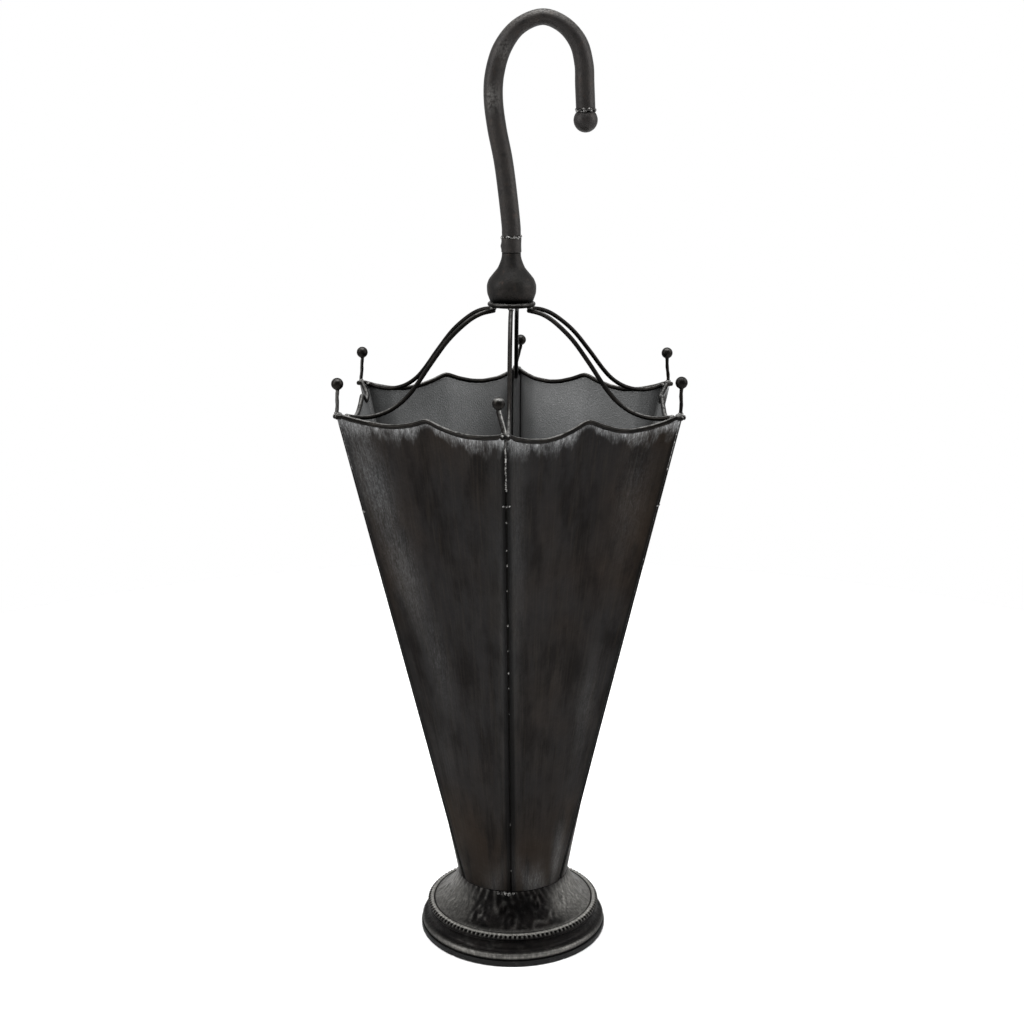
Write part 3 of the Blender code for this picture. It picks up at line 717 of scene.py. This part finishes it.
SEAM_DROP = 0.043
SEAM_BEAD_RADIUS = 0.00072
SEAM_INSET = 0.0010
FIRST_TACK = 0.4355
TACK_STEPS = (0.012, 0.034)  # least and most between two tacks
TACKS = 16
FRONT_TACKS = (0.4355, 0.4216, 0.3971, 0.3837, 0.3611, 0.3289, 0.3052, 0.2837, 0.2686, 0.2439, 0.1289, 0.0784)


def seam_radius(height):
    """How far out the corner line is: a straight line between its radii at the foot and at the rim."""
    return CORNER_FOOT + (CORNER_TOP - CORNER_FOOT) * (height - BODY_FOOT) / (BODY_TOP - BODY_FOOT)


def seam_welds(k):
    """A thin uneven bead in the groove below the rim, then small tacks down the seam, flattened to the sheet."""
    random = np.random.default_rng(60 + k)
    z = np.linspace(BODY_TOP - 0.001, BODY_TOP - SEAM_DROP, 40)
    wobble = np.interp(z, np.sort(random.uniform(z[-1], z[0], 14)), random.normal(0, 0.00018, 14))
    thick = SEAM_BEAD_RADIUS + 0.00014 * np.sin(z * 1900 + random.uniform(0, 6))
    thick = thick + random.uniform(-0.00009, 0.00009, 40)
    path = from_corner(k, seam_radius(z) - SEAM_INSET, wobble, z)
    side = from_corner(k, 0, 1, 0)
    bead = tube(path, side, thick * 1.25, thick, count=8)
    del bead["upward"]
    heights = FRONT_TACKS if k == 0 else FIRST_TACK - np.cumsum(random.uniform(*TACK_STEPS, TACKS))
    shapes = [bead]
    for i, height in enumerate(heights):
        size = random.uniform(0.0007, 0.00105)
        spot = from_corner(k, seam_radius(height) - SEAM_INSET, random.normal(0, 0.0002), height)
        shapes.append(blob(spot, (size * 0.8, size, size * 1.1), random, side=from_corner(k, 1, 0, 0)))
        if i == 0:
            for step in (-0.0016, 0.0016):
                wing = from_corner(k, seam_radius(height) - 0.0002, step, height + 0.0004)
                shapes.append(blob(wing, (0.0010, 0.0019, 0.0008), random, side=from_corner(k, 1, 0, 0)))
    return joined(shapes)


COVER_HALF_WIDTH = 0.0032
COVER_THICKNESS = 0.0010


def seam_cover(k):
    """The flat strip that closes each pair of lips inside the well: a rounded flat bar along the corner line."""
    z = np.linspace(BODY_FOOT + 0.004, BODY_TOP - 0.0030, 24)
    path = from_corner(k, seam_radius(z) - LIP_DEPTH - COVER_THICKNESS * 0.3, 0, z)
    made = tube(path, from_corner(k, 0, 1, 0), COVER_HALF_WIDTH, COVER_THICKNESS / 2, count=16, dome=0.1)
    # these sheet marks give the cover the coat's painted shade of the corner and fold
    made["sheet"] = np.full((len(made["points"]), 3), (0, 0, 0.0012))
    return made


def seam_filler(k):
    """Weld metal at the bottom of the groove, so that no light passes between two lips."""
    z = np.linspace(BODY_FOOT + 0.001, PANEL_TOP - 0.001, 30)
    path = from_corner(k, seam_radius(z) - LIP_DEPTH * 0.5, 0, z)
    made = tube(path, from_corner(k, 0, 1, 0), SHEET * 0.8, LIP_DEPTH * 0.32, count=10, dome=0.1)
    return rubbed(made, 0)


for k in range(SIDES):
    piece(f"seam_weld_{k + 1}", seam_welds(k), WELD)
    piece(f"seam_cover_{k + 1}", seam_cover(k), COAT)
    piece(f"seam_filler_{k + 1}", seam_filler(k), WIRE)


# ---- rim, ribs, pins and balls ----


def top_rub_and_highlight(shape, low, strength):
    """Rubbed metal and a painted highlight along the upper side: 0 below the upward share low, rising to strength on
    top.
    """
    return np.clip((shape["upward"] - low) / (1 - low), 0, 1) ** 1.5 * strength


def rim(k):
    """A round wire along the rim line of side k, with straight ends beside the next sides' wires."""
    beside = WIRE_RADIUS + GAP / 2
    tip, pinch = TIP_RADIUS - WIRE_RADIUS * 0.6, TIP_RADIUS - PINCH_LENGTH
    start = from_corner(k, [tip, pinch], beside, RIM_HEIGHT)
    end = from_corner(k + 1, [pinch, tip], -beside, RIM_HEIGHT)
    curve = smooth(np.vstack([start[1], rim_line(k, RIM_HEIGHT), end[0]]), 6, RIM_TENSION)
    path = np.vstack([start[:1], start[:1] * 0.5 + start[1:] * 0.5, curve, end[:1] * 0.5 + end[1:] * 0.5, end[1:]])
    along = unit(np.gradient(path, axis=0))
    made = tube(path, np.cross(along, (0, 0, 1)), WIRE_RADIUS, count=16, dome=0.6)
    # grey along the upper side: partly rubbed wear, partly a painted highlight
    made["rub"] = top_rub_and_highlight(made, 0.72, 0.60)
    return made


def rib(k):
    """A round wire through the profile's points: radius and height are its shares of the way from the crown to the
    rim, and the sideways step goes evenly from one end's to the other's."""
    at_crown, at_rim = RIB_SIDE_STEPS[k]
    out, drop = np.array(RIB_PROFILE).T
    radius = RIB_START[0] + (RIB_END[0] - RIB_START[0]) * out
    height = RIB_END[1] + (RIB_START[1] - RIB_END[1]) * drop
    path = smooth(from_corner(k, radius, at_crown + (at_rim - at_crown) * out, height), 6)
    made = tube(path, from_corner(k, 0, 1, 0), RIB_RADIUS, count=16, dome=0.7)
    # grey along the upper side: partly rubbed wear, partly a painted highlight
    made["rub"] = top_rub_and_highlight(made, 0.72, 0.45)
    return made


def pin(k):
    """A round pin from its foot on the wires to its ball, leaning and very slightly waved."""
    low, high = RIM_HEIGHT + WIRE_RADIUS + GAP, BALL_HEIGHT - BALL_DROPS[k] - BALL_RADIUS * 0.92
    z = np.linspace(low, high, 14)
    out, side = PIN_LEANS[k]
    foot = np.clip((high - 0.0015 - z) / (high - low - 0.0030), 0, 1)
    away = PIN_FROM_AXIS + out * foot + 0.0002 * np.sin(z * 400 + k)
    path = from_corner(k, away, BALL_SIDE_STEPS[k] + side * foot, z)
    thick = PIN_RADIUS * ((FRONT_PIN_STOUTER if k == 0 else 1) + 0.05 * np.sin(z * 900 + k))
    made = tube(path, from_corner(k, 0, 1, 0), thick, count=12)
    middle = np.stack([np.interp(made["points"][:, 2], z, path[:, i]) for i in (0, 1)], 1)
    turn = np.arctan2(*(made["points"][:, :2] - middle).T[::-1])
    # a painted highlight down one side of the pin, strongest on the front pin, broken up by the wear noise
    made["rub"] = np.clip(np.cos(turn - corner_angle(k) - 0.95), 0, 1) ** 3 * (0.65 if k == 0 else 0.25)
    return made


def tip_ball(k):
    """A cast ball: a sphere of even rows with a short neck where it sits on the pin."""
    profile = round_profile(BALL_RADIUS, 26)
    profile[:2, 0] = np.maximum(profile[:2, 0], PIN_RADIUS * 1.25)
    made = turned(profile, 28, poles=(-BALL_RADIUS, BALL_RADIUS))
    height = made["points"][:, 2] / BALL_RADIUS
    # a painted highlight in a band round the upper part of the ball, strongest on the front ball
    made["rub"] = np.exp(-(((height - 0.74) / 0.16) ** 2)) * (0.40 if k == 0 else 0.12)
    centre = from_corner(k, PIN_FROM_AXIS, BALL_SIDE_STEPS[k], BALL_HEIGHT - BALL_DROPS[k])
    made["points"] = made["points"] + centre
    return made


def corner_welds(k):
    """Weld lumps at one corner: round the pin's foot, between the two pinched wires, and at the rib's end."""
    random = np.random.default_rng(80 + k)
    side = from_corner(k, 0, 1, 0)
    foot_out, foot_side = PIN_FROM_AXIS + PIN_LEANS[k][0], BALL_SIDE_STEPS[k] + PIN_LEANS[k][1]
    spots = [
        (foot_out, foot_side, RIM_HEIGHT + WIRE_RADIUS + 0.0004, (0.0024, 0.0022, 0.0013)),
        (foot_out - 0.001, foot_side * 0.4, RIM_HEIGHT + WIRE_RADIUS - 0.0005, (0.0022, 0.0028, 0.0013)),
        (RIB_END[0] + 0.0018, RIB_SIDE_STEPS[k][1] * 0.8, RIB_END[1] + 0.0002, (0.0023, 0.0027, 0.0019)),
    ]
    return joined([blob(from_corner(k, *spot[:3]), spot[3], random, side=side, rows=8, columns=14) for spot in spots])


for k in range(SIDES):
    piece(f"rim_rod_{k + 1}", rim(k), WIRE, [f"rim_wire_{k + 1}"])
    piece(f"rib_rod_{k + 1}", rib(k), WIRE, [f"rib_wire_{k + 1}"])
    piece(f"pin_{k + 1}", pin(k), WIRE, [f"tip_pin_{k + 1}"])
    piece(f"ball_{k + 1}", tip_ball(k), WIRE, [f"tip_ball_{k + 1}"])
    piece(f"corner_weld_{k + 1}", rubbed(corner_welds(k), 0.35), WIRE)


# ---- crown ----


def crown_hoop():
    """A wire hoop: a ring of radius WIRE_RADIUS swept round the axis at CROWN_RADIUS, rubbed on top, where the grey
    is also a painted highlight.
    """
    b = np.arange(14) * 2 * math.pi / 14
    profile = np.stack([CROWN_RADIUS + WIRE_RADIUS * np.cos(b), CROWN_HEIGHT + WIRE_RADIUS * np.sin(b)], 1)
    made = turned(profile, 96)
    made["rub"] = np.clip((made["points"][:, 2] - CROWN_HEIGHT) / WIRE_RADIUS, 0, 1) ** 3 * 0.5
    return made


def crown_welds():
    """A weld lump under the hoop at each rib's upper end."""
    random = np.random.default_rng(99)
    shapes = []
    for k in range(SIDES):
        spot = from_corner(k, CROWN_RADIUS - 0.0006, RIB_SIDE_STEPS[k][0] * 0.9, CROWN_HEIGHT - 0.0026)
        shapes.append(blob(spot, (0.0022, 0.0026, 0.0016), random, side=from_corner(k, 0, 1, 0), rows=8, columns=14))
    return rubbed(joined(shapes), 0.3)


piece("crown_hoop", crown_hoop(), WIRE, ["crown_ring"])
piece("crown_welds", crown_welds(), WIRE)

# ---- handle ----


def knob():
    """A pear-shaped knob turned from its profile, with faint flats left by the file."""
    profile = smooth(np.array(KNOB_PROFILE) + (0, KNOB_FOOT), 7)
    profile = np.vstack([(0.012, KNOB_FOOT), (0.0175, KNOB_FOOT), profile, (0.006, profile[-1, 1])])

    def filed(radius, height, a):
        return radius * (1 + 0.004 * np.sin(3 * a + height * 90) + 0.002 * np.sin(11 * a)), height

    made = turned(profile, 72, poles=(KNOB_FOOT, float(profile[-1, 1])), shape=filed)
    return rubbed(made, 0)


def ferrule():
    """A short sleeve with rounded edges and a run of paint on its left."""
    edge = 0.0009
    low, high = FERRULE_LOW, FERRULE_TOP
    lower, upper = round_edges(FERRULE_RADIUS, low, high, edge)
    middle = np.stack([np.full(9, FERRULE_RADIUS), np.linspace(low + edge, high - edge, 11)[1:-1]], 1)
    profile = np.vstack([(0.005, low), lower, middle, upper, (0.005, high)])

    def dented(radius, height, a):
        lump = np.exp(-(((height - low - 0.0055) / 0.0022) ** 2) - ((np.cos(a) + 1) * 9) ** 2)
        return radius * (1 + 0.012 * np.sin(2 * a + height * 500) + 0.10 * lump), height

    made = turned(profile, 64, poles=(low, high), shape=dented)
    return rubbed(made, 0)


def handle_line():
    """The bent tube's centreline and its thickness share, stretched so that its crest reaches the overall height."""
    line = np.vstack([(0, HANDLE_START, 1.0), smooth(HANDLE_PATH, 7)])
    lowest = line[0, 1]
    top = line[:, 1].argmax()
    foot = FERRULE_TOP + lowest
    stretch = (OVERALL_HEIGHT - TUBE_RADIUS * line[top, 2] - foot) / (line[top, 1] - lowest)
    path = np.stack([line[:, 0], np.zeros(len(line)), foot + (line[:, 1] - lowest) * stretch], 1)
    return path, line[:, 2]


# height, sideways and strength of the rubbed marks on the front of the bend
HAND_MARKS = ((0.745, -0.0150, 0.28), (0.781, -0.0040, 0.22))


def handle_rod():
    """The bent tube: where the bend thins it in its own plane it spreads by as much the other way. Its crest is
    rubbed and carries a painted highlight; two places on the bend are rubbed, each by a Gaussian of height and
    sideways place."""
    path, share = handle_line()
    made = tube(path, (0, 1, 0), TUBE_RADIUS * (2 - share), TUBE_RADIUS * share, count=36, dome=0.02)
    # grey along the crest: partly rubbed wear, partly a painted highlight
    made["rub"] = top_rub_and_highlight(made, 0.20, 0.45)
    x, y, z = made["points"].T
    near_side = np.clip(-y / TUBE_RADIUS, 0, 1) ** 2
    for height, sideways, strength in HAND_MARKS:
        mark = np.exp(-(((z - height) / 0.010) ** 2) - ((x - sideways) / 0.006) ** 2)
        made["rub"] = np.maximum(made["rub"], mark * near_side * strength)
    return made


def weld_collar(centre, along, radius, seed, depth, gaps):
    """A ragged weld round a tube: a thin ring of lumps whose size follows random waves and which misses in places."""
    random = np.random.default_rng(seed)
    side = unit(np.cross(along, (0, 1, 0)))
    square = np.array((0, 1, 0), float)
    shapes = []
    for turn in np.arange(0, 2 * math.pi, 0.19):
        if any(abs((turn - gap + math.pi) % (2 * math.pi) - math.pi) < reach for gap, reach in gaps):
            continue
        a = turn + random.normal(0, 0.05)
        spot = centre + radius * (side * math.cos(a) + square * math.sin(a)) + along * random.normal(0, depth)
        size = random.uniform(0.0006, 0.0012)
        across = square * math.cos(a) - side * math.sin(a)
        shapes.append(blob(spot, (size * 1.5, size, size * 0.9), random, lumps=0.25, side=across))
    return joined(shapes)


def end_ball():
    """The ball on the hook's end, a full sphere by rows."""
    path, _ = handle_line()
    reach = HANDLE_BALL_RADIUS - HANDLE_BALL_FLAT
    made = turned(round_profile(HANDLE_BALL_RADIUS, 34), 48, poles=(-HANDLE_BALL_RADIUS, HANDLE_BALL_RADIUS))
    centre = path[-1] - (0, 0, GAP + reach)
    made["points"] = made["points"] + centre
    return rubbed(made, 0), centre


piece("pear_knob", knob(), KNOB, ["handle_knob"])
piece("sleeve", ferrule(), HANDLE, ["handle_ferrule"])
piece("hook_tube", handle_rod(), HANDLE, ["handle_tube"])
end, end_centre = end_ball()
piece("hook_ball", end, HANDLE, ["handle_end_ball"])
up = np.array((0, 0, 1.0))
low_path, _ = handle_line()
collars = (("sleeve_weld", low_path[0], 5, (5.3, 0.35)), ("ball_weld", low_path[-1], 6, (3.9, 0.2)))
for name, spot, seed, gap in collars:
    piece(name, weld_collar(spot, up, TUBE_RADIUS, seed, 0.0006, (gap,)), WELD)

# ---- foot ----

NECK = CORNER_FOOT
NECK_TOP = BODY_FOOT - GAP
FLUTES = 54


def foot_relief(s, a):
    """Pressed relief of the foot's slope by the share s down it and the turn a: narrow flutes that fade from the
    neck, faint scrolls, each a spiral wave about its own centre, and leaves: ridges of a sine of s that is bent
    by sines of the turn."""
    lean = 0.22 * s * np.sin(2 * a + 0.6)
    flute = (0.5 + 0.5 * np.cos(FLUTES * (a + lean) + 1.5 * np.sin(5 * a))) ** 1.4
    reach = np.clip((0.72 + 0.20 * np.cos(2 * a) - s) / 0.50, 0, 1)
    flute *= reach * np.clip(s / 0.05, 0, 1) * (0.75 + 0.25 * np.sin(3 * a + 1.1))
    relief = 0.00085 * flute
    random = np.random.default_rng(31)
    for i in range(22):
        centre_a = 2 * math.pi * i / 22 + random.normal(0, 0.05)
        centre_s = 0.52 + 0.24 * (i % 2) + random.normal(0, 0.03)
        u = ((a - centre_a + math.pi) % (2 * math.pi) - math.pi) * 4.6
        v = (s - centre_s) * 2.1
        reach = np.hypot(u, v) + 0.10 * np.sin(9 * a + 7 * s)
        turn = np.arctan2(v, u)
        spiral = np.cos(turn * (1 if i % 2 else -1) + 12 * reach + random.uniform(0, 6))
        relief += 0.00026 * spiral * np.exp(-((reach / 0.60) ** 2))
    bent = np.sin(9 * a + 5 * s + 1.3 * np.sin(17 * a - 3 * s))
    leaf = (0.5 + 0.5 * np.sin(12 * s + 1.9 * bent + 4 * np.sin(5 * a + 0.7))) ** 1.3
    leaf *= 0.60 + 0.40 * np.sin(6 * a + 9 * s + 1)
    return relief + 0.00045 * leaf * np.clip((s - 0.25) / 0.25, 0, 1)


def foot_shell():
    """The foot, turned from its slope, moulding and inner wall, with the relief pressed into the slope. Rub is the
    most of what the relief, the two sides, the top line and the moulding's bead give: rubbed high places of the
    relief, a painted reflection together with wear on the two sides, and a painted highlight along the front of the
    bead;
    shade is painted shade in the low places."""
    seat = RING_HEIGHT - RING_HALF_HEIGHT - GAP
    inside_ring = RING_RADIUS - RING_HALF_WIDTH - GAP
    slope = smooth([
        (NECK, NECK_TOP), (NECK + 0.0006, NECK_TOP - 0.0030), (NECK + 0.0022, NECK_TOP - 0.0075),
        (NECK + 0.0050, NECK_TOP - 0.0130), (NECK + 0.0092, NECK_TOP - 0.0188), (NECK + 0.0146, NECK_TOP - 0.0242),
        (inside_ring, NECK_TOP - 0.0290),
    ], 9)
    moulding = smooth([
        (RING_RADIUS + RING_HALF_WIDTH * 0.8, seat), (FOOT_RADIUS - 0.0079, 0.0190), (FOOT_RADIUS - 0.0082, 0.0160),
        (FOOT_RADIUS - 0.0073, 0.0132), (FOOT_RADIUS - 0.0049, 0.0116), (FOOT_RADIUS - 0.0025, 0.0110),
        (FOOT_RADIUS - 0.0011, 0.0092), (FOOT_RADIUS - 0.0011, 0.0070), (FOOT_RADIUS - 0.0021, EDGE_HEIGHT + GAP),
    ], 5)
    wall = 0.0014
    inside = np.array([
        (FOOT_RADIUS - 0.0067, EDGE_HEIGHT + GAP), (FOOT_RADIUS - 0.0091, 0.0130), (FOOT_RADIUS - 0.0099, 0.0182),
        (FOOT_RADIUS - 0.0144, 0.0196), (NECK + 0.0150, NECK_TOP - 0.0292 - wall),
        (NECK + 0.0090, NECK_TOP - 0.0228 - wall), (NECK + 0.0040, NECK_TOP - 0.0169 - wall),
        (NECK + 0.0005, NECK_TOP - 0.0099 - wall), (NECK - wall, NECK_TOP - 0.0054), (NECK - wall, NECK_TOP - wall),
        (NECK - 0.012, NECK_TOP - wall), (NECK - 0.012, NECK_TOP),
    ])
    profile = np.vstack([slope, (inside_ring, seat), moulding, inside])[::-1]
    share = np.full(len(profile), -1.0)
    share[len(profile) - len(slope) :] = np.linspace(1, 0, len(slope))
    kept = {}

    def pressed(radius, height, a):
        s = np.broadcast_to(share[:, None], radius.shape)
        edge = np.clip(s / 0.05, 0, 1) * np.clip((1 - s) / 0.06, 0, 1) * (s >= 0)
        relief = foot_relief(np.maximum(s, 0), a) * edge
        kept["relief"] = relief
        kept["share"] = s
        kept["turn"] = a
        return radius + relief * 0.8, height + relief * 0.6

    made = turned(profile, 480, shape=pressed)
    relief, s, a = kept["relief"], kept["share"], kept["turn"]
    rub = np.clip(relief / 0.0010 - 0.24, 0, 1) * 0.30
    # the two sides of the slope are lightened: partly rubbed wear, partly a painted reflection
    sides = np.clip(np.abs(np.cos(a)) - 0.55, 0, 1) * 1.6 * (s > 0.05)
    rub = np.maximum(rub, sides * 0.66 * np.clip(s * 3, 0, 1))
    rub = np.maximum(rub, np.clip((s - 0.93) / 0.05, 0, 1) * 0.2)
    height = made["points"][:, 2].reshape(s.shape)
    reach = np.hypot(*made["points"][:, :2].T).reshape(s.shape)
    # a painted highlight along the front of the moulding's bead
    bead = np.exp(-(((height - 0.0092) / 0.0019) ** 2)) * (s < 0) * (reach > FOOT_RADIUS - 0.0045)
    front = np.clip(-np.sin(a) + 0.12, 0, 1) ** 1.8
    rub = np.maximum(rub, bead * front * 0.58)
    patch = np.exp(-(((a - math.radians(-74)) / 0.13) ** 2)) * np.clip(1 - s / 0.14, 0, 1) * (s >= 0)
    made["rub"] = rub.reshape(-1)
    made["bright"] = patch.reshape(-1)
    # painted shade in the low places of the relief, less on the two sides
    shade = np.clip(0.50 - relief / 0.0008, 0, 1) * 0.85 * np.clip(1 - sides * 1.6, 0, 1) * (s >= 0)
    made["shade"] = shade.reshape(-1)
    return made


BEADS = 116


def bead_ring():
    """A ring notched into beads: its half sizes shrink in the notches as a power of a cosine of the turn, most at
    about 45 degrees up the outer side and not at all within, so that a plain line is left along the top."""
    b = np.arange(24) * 2 * math.pi / 24
    square = np.where(np.cos(b) < 0, 0.5, 1.0)
    wide = RING_HALF_WIDTH * np.sign(np.cos(b)) * np.abs(np.cos(b)) ** square
    tall = RING_HALF_HEIGHT * np.sign(np.sin(b)) * np.abs(np.sin(b)) ** square
    profile = np.stack([RING_RADIUS + wide, RING_HEIGHT + tall], 1)
    b = (b + math.pi) % (2 * math.pi) - math.pi
    outer = np.exp(-(((b - 0.78) / 0.60) ** 2))
    line = np.exp(-(((b - 1.62) / 0.46) ** 2))
    kept = {}

    def notched(radius, height, a):
        kept["notch"] = (0.5 + 0.5 * np.cos(BEADS * a)) ** 0.9 * outer[:, None]
        shrink = 1 - 0.66 * kept["notch"]
        return RING_RADIUS + (radius - RING_RADIUS) * shrink, RING_HEIGHT + (height - RING_HEIGHT) * shrink

    made = turned(profile, BEADS * 8, shape=notched)
    notch = kept["notch"]
    # the plain top line is rubbed grey and also a painted highlight; shade is painted shade in the notches
    made["rub"] = np.maximum(line[:, None] * 1.5, (outer[:, None] - notch) * 0.36).reshape(-1)
    made["bright"] = np.zeros(notch.size)
    made["shade"] = np.clip(notch * 2.0, 0, 1).reshape(-1)
    return made


EDGE_NICKS = (232, 304, 90)  # degrees


def edge_ring():
    """The black lower edge: a rounded bar swept round the foot, with a narrow Gaussian nick at each of
    EDGE_NICKS."""
    inner = FOOT_RADIUS - EDGE_WIDTH
    lower, upper = round_edges(FOOT_RADIUS, 0, EDGE_HEIGHT, 0.0010)
    profile = np.vstack([(inner, 0), lower, upper, (inner, EDGE_HEIGHT)])

    def nicked(radius, height, a):
        nick = sum(np.exp(-(((a - math.radians(d)) / 0.006) ** 2)) for d in EDGE_NICKS)
        return radius - 0.0006 * nick * (radius > inner + 0.001), height

    return turned(profile, 360, shape=nicked)


piece("foot_pressing", foot_shell(), FOOT, ["foot_shell"])
piece("foot_beading", bead_ring(), FOOT, ["foot_bead_ring"])
piece("foot_edging", edge_ring(), EDGE, ["foot_edge_ring"])


def foot_spatter():
    """Small lumps thrown at random round the front of the foot's neck."""
    random = np.random.default_rng(12)
    shapes = []
    for _ in range(16):
        a = math.radians(random.uniform(-104, -86))
        out = NECK + random.uniform(0.0003, 0.0016)
        spot = np.array((out * math.cos(a), out * math.sin(a), NECK_TOP - random.uniform(0.0003, 0.0030)))
        size = random.uniform(0.0004, 0.0010)
        shapes.append(blob(spot, (size * 1.4, size, size), random, lumps=0.25))
    return joined(shapes)


piece("foot_spatter", foot_spatter(), WELD)

# ---- solids that stay as they are ----

for node, paint in (("floor_plate", COAT), ("crown_disc", WIRE), ("foot_plate", EDGE), ("handle_stud", ROD)):
    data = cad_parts[node].data
    data.materials.clear()
    data.materials.append(paint)

# ---- floor, light and camera ----


def stage_floor():
    """A level round floor of rings at growing radii."""
    radius = np.array([0.15, 0.3, 0.6, 0.9, 1.2])[:, None]
    a = np.arange(64)[None, :] * 2 * math.pi / 64
    grid = np.stack([radius * np.cos(a), radius * np.sin(a), 0 * radius * a], -1)
    rows, columns = grid.shape[:2]
    ring = np.arange(columns)
    fan = np.stack([np.full(columns, rows * columns), ring, (ring + 1) % columns], 1)
    faces = grid_faces(rows, columns)[:, ::-1]
    mesh = bpy.data.meshes.new("studio_floor")
    mesh.from_pydata([*grid.reshape(-1, 3).tolist(), (0, 0, 0)], [], faces.tolist() + fan.tolist())
    obj = placed("studio_floor", mesh)
    obj.location.z = -0.0002
    return obj


# Matt white paper sweep: very slightly uneven, with no gloss.
def white_paper(node, place):
    uneven = cloud(node, place, 0.25, 0.35, 0.65, seed=31)
    return {"Base Color": [(linear("#fcfcfc"), uneven)], "Roughness": [(0.90, uneven)], "bumps": []}


floor = stage_floor()
floor.data.materials.append(finish("matt_white_sweep", white_paper, "#ffffff", 0.85, 0.0))


def softbox(name, place, target, width, height, watts, gloss):
    """A rectangular light turned towards its target; gloss is how strongly it shows in reflections."""
    light = bpy.data.lights.new(name, "AREA")
    light.shape = "RECTANGLE"
    light.size, light.size_y, light.energy, light.specular_factor = width, height, watts, gloss
    obj = placed(name, light)
    back = unit(np.array(place, float) - target)
    side = unit(np.cross((0, 0, 1), back))
    turn = np.stack([side, np.cross(back, side), back], 1)
    obj.matrix_world = Matrix([(*row, p) for row, p in zip(turn, place)] + [(0, 0, 0, 1)])
    return obj


softbox("left_softbox", (-1.6, -0.7, 1.35), (0, 0, 0.4), 0.9, 1.5, 36, 0.40)
softbox("right_softbox", (1.7, -0.2, 1.2), (0, 0, 0.4), 0.8, 1.5, 33, 0.35)
softbox("top_softbox", (0.001, 0.0, 2.4), (0, 0, 0.4), 1.7, 1.7, 60, 0.3)


def studio_world():
    """A white room for the camera. What lights the object is white behind and below, and dimmer in front and
    overhead: dim + rise over the way back, less towards the zenith."""
    world = bpy.data.worlds.new("studio")
    world.use_nodes = True
    tree = world.node_tree
    node = partial(add, tree)
    way = node("TexCoord", out="Generated")
    back = node("SeparateXYZ", {0: way}, out="Y")
    up = node("SeparateXYZ", {0: way}, out="Z")
    behind = node("MapRange", {"Value": back, "From Min": -0.25, "From Max": 0.75}, interpolation_type="SMOOTHSTEP")
    low = node("MapRange", {"Value": up, "From Min": 0.85, "From Max": 0.30}, interpolation_type="SMOOTHSTEP")
    lit = node("Math", {0: behind, 1: low}, operation="MULTIPLY")
    below = node("MapRange", {"Value": up, "From Min": 0.0, "From Max": -0.10})
    lit = node("Math", {0: lit, 1: below}, operation="MAXIMUM")
    seen = node("Math", {0: lit, 1: 0.75, 2: 0.38}, operation="MULTIPLY_ADD")
    camera_ray = node("LightPath", out="Is Camera Ray")
    strength = node("Mix", {0: camera_ray, 2: seen, 3: 1.0}, data_type="FLOAT")
    ground = tree.nodes["Background"]
    ground.inputs["Color"].default_value = (1, 1, 1, 1)
    tree.links.new(strength, ground.inputs["Strength"])
    return world


bpy.context.scene.world = studio_world()
bpy.context.scene.view_settings.view_transform = "Standard"

CAMERA_DISTANCE, CAMERA_HEIGHT, CAMERA_LENS = 1.3715, 0.7465, 56.93
CAMERA_AZIMUTH, CAMERA_PITCH, CAMERA_ROLL = (math.radians(v) for v in (1.757, 14.42, 0.128))
camera_data = bpy.data.cameras.new("camera")
camera_data.sensor_width = 36
camera_data.lens = CAMERA_LENS
camera_data.clip_start, camera_data.clip_end = 0.05, 100
camera = placed("camera", camera_data)
camera.matrix_world = (
    Matrix.Translation((
        CAMERA_DISTANCE * math.sin(CAMERA_AZIMUTH), -CAMERA_DISTANCE * math.cos(CAMERA_AZIMUTH), CAMERA_HEIGHT
    ))
    @ Matrix.Rotation(CAMERA_AZIMUTH, 4, "Z")
    @ Matrix.Rotation(math.pi / 2 - CAMERA_PITCH, 4, "X")
    @ Matrix.Rotation(-CAMERA_ROLL, 4, "Z")
)
bpy.context.scene.camera = camera
